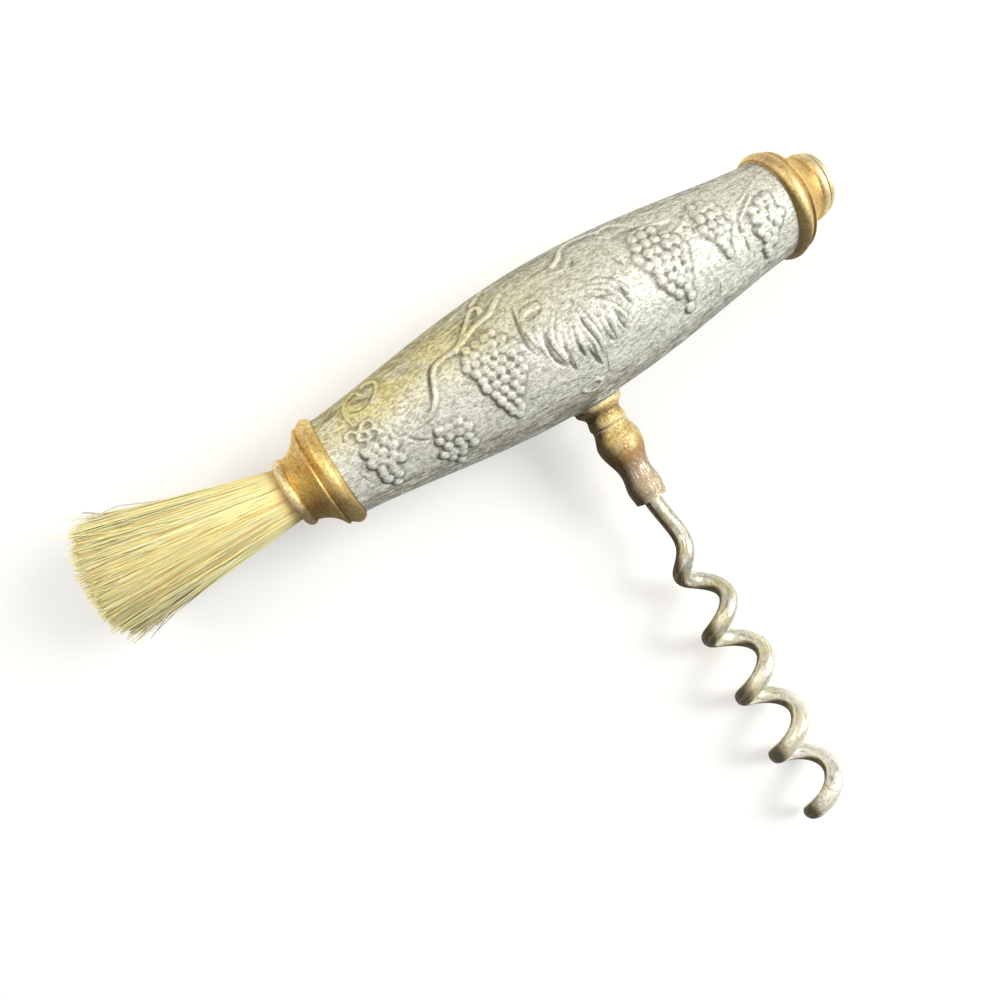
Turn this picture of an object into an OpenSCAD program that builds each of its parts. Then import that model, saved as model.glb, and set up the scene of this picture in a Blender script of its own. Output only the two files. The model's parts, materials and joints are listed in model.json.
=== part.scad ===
/* [Handle] */
// Length of the cast sleeve between its two end faces
sleeve_len = 84; // [74:1:100]
// Diameter of the sleeve at the middle of its belly
belly_d = 25.7; // [24:0.1:32]
// Diameter of the sleeve at each end face
sleeve_end_d = 17.1; // [16.6:0.1:20]
// How sharply the belly falls away towards the ends
belly_power = 1.3; // [1:0.05:1.8]
// Wall thickness of the hollow casting
sleeve_wall = 2.2; // [1.6:0.1:2.4]
// Length of the closed-in lip at each end of the casting
sleeve_lip = 4; // [2:0.5:8]
// Diameter of the wooden core that runs through the sleeve
core_d = 11; // [10.4:0.1:11.4]
// How far the core enters each ferrule
core_tenon = 4.4; // [3:0.1:4.6]

/* [Shank seat] */
// Height of the flat seat above the belly
seat_rise = 0.1; // [0.05:0.05:0.8]
// Diameter of the flat seat
seat_d = 8.9; // [8.6:0.1:11]
// How far the cast fillet spreads outside the seat
fillet_spread = 1.9; // [0.8:0.1:2]
// How far the cast fillet runs down from the seat
fillet_drop = 2.05; // [1.6:0.05:2.2]

/* [Ferrules] */
// Length of a ferrule from the sleeve to its mouth
ferrule_len = 9; // [8.4:0.1:11]
// How far the big ring stands out past the end of the sleeve
ring_overhang = 1; // [0.5:0.05:1.5]
// Thickness of the big ring
ring_d = 2.6; // [2:0.1:3]
// Slope of the flank of the big ring towards the thin ring, in degrees
flank_slope = 38; // [30:1:45]
// Height of the thin sharp ring beside the big ring
quirk_height = 0.3; // [0.15:0.05:0.7]
// Width of the thin sharp ring at its foot
quirk_width = 0.6; // [0.4:0.05:0.8]
// How far the cove is hollowed below a straight slope
cove_sag = 0.5; // [0.2:0.05:0.7]
// Thickness of the bead round the mouth
bead_d = 1.9; // [1.5:0.1:2.2]
// Height of the bead above the hollow of the cove
bead_step = 0.35; // [0.2:0.05:0.5]
// Bore of the mouth
mouth_d = 9.5; // [9:0.1:9.9]
// Wall between the bore of the mouth and the top of the bead
mouth_wall = 1.25; // [1.1:0.05:1.6]

/* [End button] */
// Diameter of the button that closes the plain end
button_d = 11; // [10:0.1:12]
// Thickness of the button outside the ferrule
button_rise = 1; // [0.8:0.1:2.5]
// Rounding of the rim of the button
button_round = 0.55; // [0.3:0.05:0.7]
// How far the plug of the button enters the ferrule
button_plug = 3.6; // [2:0.1:4]

/* [Brush] */
// Free length of the bristles outside the mouth
bristle_len = 31.6; // [24:0.2:45]
// Diameter of the bundle where the bristles are set
root_d = 8.1; // [7.4:0.1:8.2]
// Diameter of the bundle at the tips
tuft_d = 18.6; // [14:0.1:22]
// Sideways lean of the tips away from the worm
tuft_lean = 3.8; // [0:0.1:4]
// Bristles along one side of the square set
bristle_rows = 18; // [17:1:20]
// Share of its cell that a bristle fills at the root
root_share = 0.62; // [0.4:0.02:0.7]
// Share of its cell that a bristle fills at the tip
tip_share = 0.42; // [0.2:0.02:0.6]
// Uneven length left by the trimming of the tips
trim_scatter = 1.4; // [0:0.1:3]
// Thickness of the slice of backing under the bristles
backing_t = 1.2; // [0.8:0.1:1.4]
// Thickness of the pitch plug behind the backing
pitch_t = 1; // [0.6:0.1:1.2]

/* [Shank] */
// Length of the collar from the seat to the seam
collar_len = 4.25; // [3:0.05:6]
// Diameter of the flange on the seat
flange_d = 8.5; // [7.4:0.1:8.6]
// Thickness of the flange at its edge
flange_edge = 0.45; // [0.2:0.05:0.7]
// Diameter of the neck under the flange
neck_d = 6.2; // [6:0.1:7]
// Distance from the seat to the neck
neck_at = 2.1; // [1:0.05:2.6]
// Diameter of the collar below the neck
collar_d = 6.7; // [6.4:0.1:8]
// Width of the rounded edge at the seam
seam_round = 0.5; // [0.3:0.05:0.8]
// Depth of the groove at the seam
seam_depth = 0.2; // [0.1:0.05:0.4]
// Length of the shank from the seam to its mouth
shank_len = 14.4; // [13.4:0.1:20]
// Diameter of the bulb
bulb_d = 7.9; // [7:0.05:10]
// Distance from the seam to the bulb
bulb_at = 3.3; // [2:0.05:4]
// Diameter of the waist
waist_d = 5.4; // [5.2:0.05:6.4]
// Distance from the seam to the waist
waist_at = 9; // [7:0.05:10]
// Diameter of the swell of the wire socket
socket_d = 6.2; // [5.8:0.1:7.4]
// Distance from the seam to the swell of the socket
socket_at = 12.1; // [11:0.05:12.8]
// Diameter of the mouth of the socket
socket_mouth_d = 5.7; // [5.4:0.1:7]
// Diameter of the spigot that goes into the core
spigot_d = 4.4; // [3.6:0.1:5]
// Distance from the handle axis to the end of the spigot
spigot_stop = 1.8; // [0:0.1:4]

/* [Worm] */
// Diameter of the wire
wire_d = 3.05; // [2.6:0.05:3.3]
// Outside diameter of the coil
coil_d = 10.1; // [8.5:0.1:12]
// Length of one turn along the worm
pitch = 12.25; // [10:0.05:14]
// Length of the worm outside the shank
worm_len = 64.6; // [50:0.2:75]
// Length over which the coil opens out from the shank
lead_len = 30; // [20:0.5:36]
// How quickly the coil opens out at first
lead_power = 1.85; // [1.2:0.05:2.4]
// Length over which the bend at the shank is eased
lead_soft = 2.5; // [1:0.1:5]
// Length over which the wire leans out before it turns
lean_len = 3.75; // [1:0.05:6]
// Distance from the shank to where the coil has its full pitch
wind_len = 13.2; // [9:0.1:18]
// Direction in which the wire leans out of the shank, in degrees
coil_start = 19; // [0:1:359]
// Length of wire set in the shank
stem_depth = 9; // [6:0.1:10]
// Length of the ground end along the worm
point_len = 3.2; // [1:0.1:6]
// Diameter of the blunt end of the wire
point_d = 2; // [1.2:0.1:2.4]

/* [Fits] */
// Gap all round a glued or pressed fit
fit_gap = 0.05; // [0.02:0.01:0.1]
// Gap between two seated faces
seat_gap = 0.02; // [0.01:0.01:0.05]

/* [Hidden] */

round_facets = 96;
sleeve_steps = 36;
swell_steps = 9;
fillet_steps = 6;
wire_sides = 12;
turn_rings = 24;
nose_rings = 3;
cove_steps = 12;
bristle_seed = 7;

pewter = "#a8aaa0";
brass = "#b5883a";
worn_brass = "#a8875a";
steel = "#b4b1a6";
beech = "#c39a66";
pitch_brown = "#3a2a1c";
straw = "#e0cf92";

belly_r = belly_d / 2;
core_r = core_d / 2;
core_hole_r = core_r + fit_gap;
core_end = sleeve_len / 2 + core_tenon;

// A ferrule is drawn as radius against distance from the end of the sleeve.
ring_r = ring_d / 2;
ring_mid_r = sleeve_end_d / 2 + ring_overhang - ring_r;
ring_mid = ring_r + fit_gap;
quirk_mid = ring_mid + ring_r + quirk_width;
cove_start = quirk_mid + quirk_width / 2;
block_r = sleeve_end_d / 2 + fit_gap;
mouth_r = mouth_d / 2;
bead_r = bead_d / 2;
bead_mid_r = mouth_r + mouth_wall - bead_r;
bead_mid = ferrule_len + fit_gap - bead_r;
cove_end = bead_mid - bead_r;
cove_floor_r = bead_mid_r + bead_r - bead_step;
cove_run = cove_end - cove_start;
cove_fall = block_r - cove_floor_r;
ferrule_top = bead_mid + bead_r;
socket_floor = core_tenon + seat_gap;
plug_r = mouth_r - fit_gap;

// The brush is set against the end of the core.
pitch_top = socket_floor + seat_gap + pitch_t;
backing_floor = pitch_top + seat_gap;
backing_top = backing_floor + backing_t;
root_r = root_d / 2;
tuft_r = tuft_d / 2;
tip_at = ferrule_top + bristle_len;

// The shank hangs from the seat, and distances run from the handle axis.
seat = belly_r + seat_rise;
collar_top = seat + seat_gap;
seam = collar_top + collar_len;
shoulder = seam + seat_gap;
shank_end = shoulder + shank_len;
groove_r = collar_d / 2 - seam_depth;
spigot_r = spigot_d / 2;
spigot_hole_r = spigot_r + fit_gap;

wire_r = wire_d / 2;
point_r = point_d / 2;
coil_r = (coil_d - wire_d) / 2;
worm_end = shank_end + worm_len;
stem_top = shank_end - stem_depth;
ring_step = pitch / turn_rings;

function unit(v) = v / norm(v);
function ease(t) = t <= 0 ? 0 : t >= 1 ? 1 : t * t * (3 - 2 * t);
function blend(a, b, t) = a + (b - a) * t;

// Outside radius of the sleeve, largest at the belly and least at the end faces
function barrel_r(x) =
  let (fall = max(0, cos(180 * abs(x) / sleeve_len)))
    blend(sleeve_end_d, belly_d, pow(fall, belly_power)) / 2;

// Smooth turned outline through stations of [distance, radius]
function swell(stations) = concat(
  [for (i = [0 : len(stations) - 2], k = [0 : swell_steps - 1])
    let (t = k / swell_steps, a = stations[i], b = stations[i + 1])
      [blend(a[1], b[1], (1 - cos(180 * t)) / 2), blend(a[0], b[0], t)]],
  [let (last = stations[len(stations) - 1]) [last[1], last[0]]]
);

// Length of full-pitch coil wound by a distance from the shank: none while the wire leans out,
// then more and more until the pitch is full
function wound(u) =
  u <= lean_len ? 0
  : u >= wind_len ? u - (lean_len + wind_len) / 2
  : (u - lean_len) * (u - lean_len) / (2 * (wind_len - lean_len));

// Share of its full radius to which the coil has opened at a distance from the shank
function opened(u) = u <= 0 ? 0 : 1 - pow(max(0, 1 - u * u / ((u + lead_soft) * lead_len)), lead_power);

// Centre line of the wire, at a distance from the handle axis
function wire_turn(d) = coil_start + 360 * wound(d - shank_end) / pitch;
function wire_reach(d) = coil_r * opened(d - shank_end);
function wire_point(d) =
  [wire_reach(d) * cos(wire_turn(d)), -d, wire_reach(d) * sin(wire_turn(d))];
function wire_thick(d) = blend(wire_r, point_r, ease((d - worm_end + point_len) / point_len));

wire_line = concat(
  [stem_top],
  [for (d = [shank_end : ring_step : worm_end - ring_step / 2]) d],
  [worm_end]
);
wire_points = [for (d = wire_line) wire_point(d)];
wire_last = len(wire_line) - 1;
wire_heading = [for (i = [0 : wire_last])
  unit(wire_points[min(i + 1, wire_last)] - wire_points[max(i - 1, 0)])];

function square_to(v, heading) = unit(v - (v * heading) * heading);

// A side direction carried along the wire without twist
wire_side = [for (i = 0, v = [1, 0, 0]; i <= wire_last;
  i = i + 1, v = i <= wire_last ? square_to(v, wire_heading[i]) : v) v];

// The handle lies on its belly, and the worm drops until its lowest point lies as low.
function lay_for(along, below) = asin(belly_r / norm([along, below])) - atan2(below, along);
lay_angle = min([for (i = [0 : wire_last])
  lay_for(-wire_points[i].y, wire_thick(wire_line[i]) - wire_points[i].z)]);

// Least gap of the wire to itself, between points over half a turn apart
self_gap = min([for (i = [0 : wire_last], j = [0 : wire_last])
  if (wire_line[j] - wire_line[i] > pitch / 2)
    norm(wire_points[j] - wire_points[i]) - wire_d]);
echo(worm_least_gap_mm = self_gap, lay_angle_deg = lay_angle);

module laid() {
  rotate([lay_angle, 0, 0]) children();
}

// Turns a profile about the handle axis, with its height along +X
module along_handle() {
  rotate([0, 90, 0]) rotate_extrude($fn = round_facets) children();
}

// Turns a profile about the shank axis, with its height away from the handle
module along_shank() {
  rotate([90, 0, 0]) rotate_extrude($fn = round_facets) children();
}

module brush_end() {
  mirror([1, 0, 0]) plain_end() children();
}

module plain_end() {
  translate([sleeve_len / 2, 0, 0]) children();
}

// A rectangle from its low to its high radius and distance
module band(r0, r1, from, to) {
  translate([r0, from]) square([r1 - r0, to - from]);
}

module spigot_hole(from, to) {
  along_shank() band(0, spigot_hole_r, from, to);
}

module sleeve_profile() {
  half = sleeve_len / 2;
  hollow = half - sleeve_lip;
  outside = [for (i = [0 : sleeve_steps]) let (x = blend(-half, half, i / sleeve_steps)) [barrel_r(x), x]];
  inside = [for (i = [0 : sleeve_steps]) let (x = blend(hollow, -hollow, i / sleeve_steps))
    [barrel_r(x) - sleeve_wall, x]];
  polygon(concat(
    outside,
    [[core_hole_r, half], [core_hole_r, hollow]],
    inside,
    [[core_hole_r, -hollow], [core_hole_r, -half]]
  ));
}

// Cast fillet that carries the flat seat of the collar
module seat_profile() {
  seat_r = seat_d / 2;
  foot = belly_r - sleeve_wall;
  curve = [for (i = [0 : fillet_steps]) let (a = 90 * i / fillet_steps)
    [seat_r + fillet_spread * (1 - cos(a)), seat - fillet_drop * sin(a)]];
  polygon(concat([[0, seat]], curve, [[seat_r + fillet_spread, foot], [0, foot]]));
}

module handle_sleeve() {
  color(pewter) laid() difference() {
    union() {
      along_handle() sleeve_profile();
      along_shank() seat_profile();
    }
    spigot_hole(spigot_stop, seat + sleeve_wall);
  }
}

module handle_core() {
  color(beech) laid() difference() {
    along_handle() band(0, core_r, -core_end, core_end);
    spigot_hole(spigot_stop - seat_gap, seat);
  }
}

module ferrule_profile() {
  difference() {
    union() {
      band(mouth_r, block_r, 0, cove_start);
      translate([ring_mid_r, ring_mid]) circle(ring_r, $fn = round_facets);
      flank();
      quirk();
      cove();
      bead();
    }
    band(0, core_hole_r, -core_tenon, socket_floor);
  }
}

// Straight flank that runs off the big ring to the foot of the thin ring
module flank() {
  top_r = ring_mid_r + ring_r * cos(flank_slope);
  top = ring_mid + ring_r * sin(flank_slope);
  foot = quirk_mid - quirk_width / 2;
  foot_r = max(block_r, top_r - (foot - top) * tan(flank_slope));
  polygon([[mouth_r, top], [top_r, top], [foot_r, foot], [mouth_r, foot]]);
}

// Thin sharp ring between the big ring and the cove
module quirk() {
  edge = quirk_width / 8;
  foot_r = block_r - quirk_height;
  tip_r = block_r + quirk_height;
  polygon([
    [foot_r, quirk_mid - quirk_width / 2],
    [block_r, quirk_mid - quirk_width / 2],
    [tip_r, quirk_mid - edge],
    [tip_r, quirk_mid + edge],
    [block_r, quirk_mid + quirk_width / 2],
    [foot_r, quirk_mid + quirk_width / 2]
  ]);
}

// Hollow slope from the thin ring down to the bead
module cove() {
  inward = unit([-cove_run, -cove_fall]);
  curve = [for (i = [0 : cove_steps]) let (t = i / cove_steps)
    [block_r - cove_fall * t, cove_start + cove_run * t] + 4 * cove_sag * t * (1 - t) * inward];
  polygon(concat([[mouth_r, cove_start]], curve, [[mouth_r, cove_end]]));
}

module bead() {
  band(mouth_r, cove_floor_r, cove_end, bead_mid);
  band(mouth_r, bead_mid_r, bead_mid, ferrule_len);
  intersection() {
    translate([bead_mid_r, bead_mid]) circle(bead_r, $fn = round_facets);
    band(mouth_r, bead_mid_r + bead_d, cove_end - bead_d, ferrule_top + bead_d);
  }
}

module brush_ferrule() {
  color(brass) laid() brush_end() along_handle() ferrule_profile();
}

module end_ferrule() {
  color(brass) laid() plain_end() along_handle() ferrule_profile();
}

module button_profile() {
  foot = ferrule_top + seat_gap;
  top = foot + button_rise;
  button_r = button_d / 2;
  band(0, plug_r, ferrule_len - button_plug, foot + button_round);
  band(0, button_r, foot, top - button_round);
  band(0, button_r - button_round, foot, top);
  translate([button_r - button_round, top - button_round]) circle(button_round, $fn = round_facets);
}

module end_button() {
  color(brass) laid() plain_end() along_handle() button_profile();
}

module brush_pitch() {
  color(pitch_brown) laid() brush_end() along_handle() band(0, plug_r, socket_floor + seat_gap, pitch_top);
}

module knot_band() {
  color(brass) laid() brush_end() along_handle() band(root_r + fit_gap, plug_r, backing_floor, backing_top);
}

// A place in the unit square, moved into the unit circle with its neighbours kept in order
function disc(u, v) = [u * sqrt(1 - v * v / 2), v * sqrt(1 - u * u / 2)];

// Corner k of a square of half size h about a place in the unit square
function corner(u, v, h, k) = disc(u + (k == 0 || k == 3 ? -h : h), v + (k < 2 ? -h : h));

// The bristles and their backing, with the bundle along +X
module bristle_set() {
  n = bristle_rows;
  side = n + 1;
  cell = 1 / n;
  trims = rands(-trim_scatter, 0, n * n, bristle_seed);
  grid = [for (j = [0 : n], i = [0 : n])
    let (p = root_r * disc(2 * i * cell - 1, 2 * j * cell - 1)) [backing_top, p.x, p.y]];
  roots = [for (j = [0 : n - 1], i = [0 : n - 1], k = [0 : 3])
    let (p = root_r * corner((2 * i + 1) * cell - 1, (2 * j + 1) * cell - 1, root_share * cell, k))
      [backing_top, p.x, p.y]];
  tips = [for (j = [0 : n - 1], i = [0 : n - 1], k = [0 : 3])
    let (p = tuft_r * corner((2 * i + 1) * cell - 1, (2 * j + 1) * cell - 1, tip_share * cell, k))
      [tip_at + trims[j * n + i], p.x + tuft_lean, p.y]];
  rim = concat(
    [for (i = [0 : n - 1]) i],
    [for (j = [0 : n - 1]) j * side + n],
    [for (i = [n : -1 : 1]) n * side + i],
    [for (j = [n : -1 : 1]) j * side]
  );
  rim_count = len(rim);
  floor_rim = [for (g = rim) [backing_floor, grid[g].y, grid[g].z]];
  first_root = len(grid);
  first_tip = first_root + len(roots);
  first_floor = first_tip + len(tips);
  collars = [for (j = [0 : n - 1], i = [0 : n - 1], k = [0 : 3])
    let (
      outer = [j * side + i, j * side + i + 1, (j + 1) * side + i + 1, (j + 1) * side + i],
      root = first_root + 4 * (j * n + i),
      next = (k + 1) % 4
    )
      each [[outer[k], root + k, outer[next]], [outer[next], root + k, root + next]]];
  strands = [for (c = [0 : n * n - 1], k = [0 : 3])
    let (root = first_root + 4 * c, tip = first_tip + 4 * c, next = (k + 1) % 4)
      each [[root + k, tip + k, root + next], [root + next, tip + k, tip + next]]];
  ends = [for (c = [0 : n * n - 1])
    let (tip = first_tip + 4 * c)
      each [[tip, tip + 3, tip + 1], [tip + 1, tip + 3, tip + 2]]];
  edge = [for (i = [0 : rim_count - 1])
    let (next = (i + 1) % rim_count)
      each [[rim[i], rim[next], first_floor + i], [rim[next], first_floor + next, first_floor + i]]];
  base = [for (i = [1 : rim_count - 2]) [first_floor, first_floor + i, first_floor + i + 1]];
  polyhedron(concat(grid, roots, tips, floor_rim), concat(collars, strands, ends, edge, base));
}

module brush_bristles() {
  color(straw) laid() brush_end() bristle_set();
}

module shank_collar() {
  outline = swell([
    [collar_top + flange_edge, flange_d / 2],
    [collar_top + neck_at, neck_d / 2],
    [seam - seam_round, collar_d / 2],
    [seam, groove_r]
  ]);
  color(brass) laid() along_shank() polygon(concat(
    [[flange_d / 2, collar_top]],
    outline,
    [[spigot_hole_r, seam], [spigot_hole_r, collar_top]]
  ));
}

module shank() {
  outline = swell([
    [shoulder, groove_r],
    [shoulder + bulb_at, bulb_d / 2],
    [shoulder + waist_at, waist_d / 2],
    [shoulder + socket_at, socket_d / 2],
    [shank_end, socket_mouth_d / 2]
  ]);
  color(worn_brass) laid() difference() {
    along_shank() polygon(concat(
      [[0, spigot_stop], [spigot_r, spigot_stop], [spigot_r, shoulder]],
      outline,
      [[0, shank_end]]
    ));
    along_shank() band(0, wire_r + fit_gap, stem_top - seat_gap, shank_end + wire_d);
  }
}

// One ring of points round the wire
function wire_ring(centre, heading, side, r) =
  let (across = cross(heading, side))
    [for (k = [0 : wire_sides - 1])
      let (a = 360 * k / wire_sides) centre + r * (cos(a) * side + sin(a) * across)];

module worm_sweep() {
  last = wire_points[wire_last];
  ahead = wire_heading[wire_last];
  rings = concat(
    [for (i = [0 : wire_last])
      wire_ring(wire_points[i], wire_heading[i], wire_side[i], wire_thick(wire_line[i]))],
    [for (k = [1 : nose_rings]) let (a = 90 * k / (nose_rings + 1))
      wire_ring(last + point_r * sin(a) * ahead, ahead, wire_side[wire_last], point_r * cos(a))]
  );
  count = len(rings);
  n = wire_sides;
  walls = [for (i = [0 : count - 2], k = [0 : n - 1])
    let (a = i * n + k, b = i * n + (k + 1) % n)
      each [[a, a + n, b], [b, a + n, b + n]]];
  caps = [for (k = [1 : n - 2])
    each [[0, k, k + 1], [(count - 1) * n, (count - 1) * n + k + 1, (count - 1) * n + k]]];
  polyhedron([for (ring = rings) each ring], concat(walls, caps));
}

module worm() {
  color(steel) laid() worm_sweep();
}

handle_sleeve();
handle_core();
brush_ferrule();
end_ferrule();
end_button();
brush_bristles();
brush_pitch();
knot_band();
shank_collar();
shank();
worm();
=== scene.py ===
import json
import math

import bmesh
import bpy
import numpy as np
from mathutils import Matrix, Vector


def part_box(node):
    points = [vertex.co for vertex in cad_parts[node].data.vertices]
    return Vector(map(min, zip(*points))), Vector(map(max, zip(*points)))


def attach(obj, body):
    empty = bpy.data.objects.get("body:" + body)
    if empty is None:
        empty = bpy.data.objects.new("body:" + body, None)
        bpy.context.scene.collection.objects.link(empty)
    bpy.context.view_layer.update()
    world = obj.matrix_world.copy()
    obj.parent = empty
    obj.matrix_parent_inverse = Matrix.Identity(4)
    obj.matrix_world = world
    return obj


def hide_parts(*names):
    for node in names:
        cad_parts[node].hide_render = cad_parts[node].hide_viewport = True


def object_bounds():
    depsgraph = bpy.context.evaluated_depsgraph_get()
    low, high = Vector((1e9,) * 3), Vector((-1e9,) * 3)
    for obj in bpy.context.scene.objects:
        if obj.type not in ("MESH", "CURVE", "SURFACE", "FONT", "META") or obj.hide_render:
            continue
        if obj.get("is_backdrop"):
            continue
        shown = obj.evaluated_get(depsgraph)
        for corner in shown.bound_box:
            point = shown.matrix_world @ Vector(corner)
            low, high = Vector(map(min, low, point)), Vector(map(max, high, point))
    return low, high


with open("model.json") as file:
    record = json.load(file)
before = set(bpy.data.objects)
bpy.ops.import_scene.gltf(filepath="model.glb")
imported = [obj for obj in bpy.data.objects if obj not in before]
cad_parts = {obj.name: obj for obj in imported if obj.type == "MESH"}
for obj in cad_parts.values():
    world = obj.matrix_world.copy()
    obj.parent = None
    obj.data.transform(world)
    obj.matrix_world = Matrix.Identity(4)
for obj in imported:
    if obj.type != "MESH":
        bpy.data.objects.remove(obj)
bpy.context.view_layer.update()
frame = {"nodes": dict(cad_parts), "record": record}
mounts = {m["name"]: m for m in frame["record"]["mounts"]}
print("frame loaded:", len(frame["nodes"]), "nodes")

mm = 0.001
wormWay = Vector(mounts["worm_tip"]["axis"])
dip = math.asin(-wormWay.z)  # the tool lies on its side, so the worm dips to the table
layDown = Matrix.Rotation(dip, 4, "X") @ Matrix.Scale(mm, 4)  # upright millimetres to the frame
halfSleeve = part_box("handle_sleeve")[1].x / mm
fullTurn = 2 * math.pi
noiseMiddle = 0.5  # noise runs from 0 to 1 about this value
nearZero = 1e-9

# node trees, with a short call for each kind of node in use
nodeGrid = {"columns": 12, "across": 200, "down": 260}


class NodeBench:
    def __init__(self, tree):
        self.tree = tree

    def feed(self, socket, value):
        if isinstance(value, bpy.types.NodeSocket):
            self.tree.links.new(value, socket)
        else:
            socket.default_value = value

    def node(self, kind, feeds=None, **settings):
        node = self.tree.nodes.new(kind)
        row, column = divmod(len(self.tree.nodes), nodeGrid["columns"])
        node.location = (column * nodeGrid["across"], -row * nodeGrid["down"])
        for key, value in settings.items():
            setattr(node, key, value)
        for key, value in (feeds or {}).items():
            self.feed(node.inputs[key], value)
        return node

    def put(self, kind, feeds=None, **settings):
        return self.node(kind, feeds, **settings).outputs[0]

    def group(self, tree, feeds):
        return self.node("ShaderNodeGroup", feeds, node_tree=tree).outputs

    def sums(self, operation, *values, clamp=False):
        return self.put("ShaderNodeMath", dict(enumerate(values)), operation=operation, use_clamp=clamp)

    def plus(self, first, second):
        return self.sums("ADD", first, second)

    def minus(self, first, second):
        return self.sums("SUBTRACT", first, second)

    def times(self, first, *others):
        for other in others:
            first = self.sums("MULTIPLY", first, other)
        return first

    def over(self, first, second):
        return self.sums("DIVIDE", first, second)

    def past(self, value, start):  # how far a value is beyond a start, or zero
        return self.sums("MAXIMUM", 0.0, self.minus(value, start))

    def timesPlus(self, first, second, third):
        return self.sums("MULTIPLY_ADD", first, second, third)

    def circle(self, turn, reach):
        return [self.times(reach, self.sums(way, turn)) for way in ("COSINE", "SINE")]

    def vectors(self, operation, *values):
        return self.put("ShaderNodeVectorMath", dict(enumerate(values)), operation=operation)

    def distance(self, first, second):
        feeds = {0: first, 1: second}
        return self.node("ShaderNodeVectorMath", feeds, operation="DISTANCE").outputs["Value"]

    def stretched(self, vector, amount):
        return self.put("ShaderNodeVectorMath", {0: vector, "Scale": amount}, operation="SCALE")

    def combined(self, x, y, z):
        return self.put("ShaderNodeCombineXYZ", {0: x, 1: y, 2: z})

    def parts(self, vector):
        return self.node("ShaderNodeSeparateXYZ", {0: vector}).outputs

    def ramp(self, value, low, high, start=0.0, end=1.0):
        feeds = {0: value, 1: low, 2: high, 3: start, 4: end}
        return self.put("ShaderNodeMapRange", feeds, interpolation_type="SMOOTHSTEP")

    def tint(self, amount, first, second, mode="MIX"):
        feeds = {0: amount, 6: first, 7: second}
        return self.node("ShaderNodeMix", feeds, data_type="RGBA", blend_type=mode).outputs[2]

    def between(self, amount, first, second):
        return self.put("ShaderNodeMix", {0: amount, 2: first, 3: second}, data_type="FLOAT")

    def clouds(self, where, scale, detail, roughness=0.55):
        feeds = {"Vector": where, "Scale": scale, "Detail": detail, "Roughness": roughness}
        return self.put("ShaderNodeTexNoise", feeds)

    def drift(self, where, scale, detail):  # noise as a direction, about zero
        feeds = {"Vector": where, "Scale": scale, "Detail": detail}
        colour = self.node("ShaderNodeTexNoise", feeds).outputs["Color"]
        return self.vectors("SUBTRACT", colour, [noiseMiddle] * 3)

    def place(self):  # on the object, in metres
        return self.node("ShaderNodeTexCoord").outputs["Object"]

    def attribute(self, name, output="Fac"):
        return self.node("ShaderNodeAttribute", attribute_name=name).outputs[output]

    def dent(self, height, depth, strength=1.0):
        return self.put("ShaderNodeBump", {"Height": height, "Distance": depth * mm, "Strength": strength})

    def here(self):
        return self.put("GeometryNodeInputPosition")

    def keep(self, geometry, name, value, kind="FLOAT"):
        feeds = {"Geometry": geometry, "Name": name, "Value": value}
        return self.put("GeometryNodeStoreNamedAttribute", feeds, data_type=kind, domain="POINT")

    def recall(self, name, kind="FLOAT"):
        return self.put("GeometryNodeInputNamedAttribute", {"Name": name}, data_type=kind)

    def moved(self, geometry, place):
        return self.put("GeometryNodeSetPosition", {"Geometry": geometry, "Position": place})

    def segments(self, count):
        line = self.put("GeometryNodeCurvePrimitiveLine")
        return self.put("GeometryNodeResampleCurve", {"Curve": line, "Count": count})

    def ring(self, sides):
        return self.put("GeometryNodeCurvePrimitiveCircle", {"Resolution": sides, "Radius": 1.0})

    def tube(self, line, ring, girth):
        feeds = {"Curve": line, "Profile Curve": ring, "Scale": girth, "Fill Caps": True}
        return self.put("GeometryNodeCurveToMesh", feeds)

    def deliver(self, geometry, finish, out):
        whole = self.put("GeometryNodeRealizeInstances", {"Geometry": geometry})
        self.feed(out, self.put("GeometryNodeSetMaterial", {"Geometry": whole, "Material": finish}))
        return self.tree


def newTree(name, kind, inputs, outputs):
    tree = bpy.data.node_groups.new(name, kind)
    for way, sockets in (("INPUT", inputs), ("OUTPUT", outputs)):
        for label, socketKind in sockets.items():
            tree.interface.new_socket(label, in_out=way, socket_type="NodeSocket" + socketKind)
    bench = NodeBench(tree)
    return bench, bench.node("NodeGroupInput").outputs, bench.node("NodeGroupOutput").inputs


socketKinds = {int: "Int", float: "Float", bpy.types.Object: "Object", bpy.types.Material: "Material"}


def pieceTree(name, values):
    inputs = {label: socketKinds[type(value)] for label, value in values.items()}
    return newTree(name, "GeometryNodeTree", {"Geometry": "Geometry", **inputs}, {"Geometry": "Geometry"})


def shade(code):  # a hex colour as the linear colour that a socket takes
    parts = [int(code[i:i + 2], 16) / 255 for i in (0, 2, 4)]
    return [((c + 0.055) / 1.055) ** 2.4 if c > 0.04045 else c / 12.92 for c in parts] + [1.0]


# pieces: shade is painted on the sides that face away from the lit direction given for each piece
paintedShade = {"litAndRubbed": (0.75, 0.3, 0.55), "startsAt": 0.38, "spread": 0.8, "fadesTo": 0.3}


def setFloats(mesh, name, values):
    layer = mesh.attributes.new(name, "FLOAT", "POINT")
    layer.data.foreach_set("value", np.asarray(values, np.float32))


def newPiece(name, mesh=None):
    piece = bpy.data.objects.new(name, mesh or bpy.data.meshes.new(name))
    bpy.context.scene.collection.objects.link(piece)
    return piece


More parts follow.
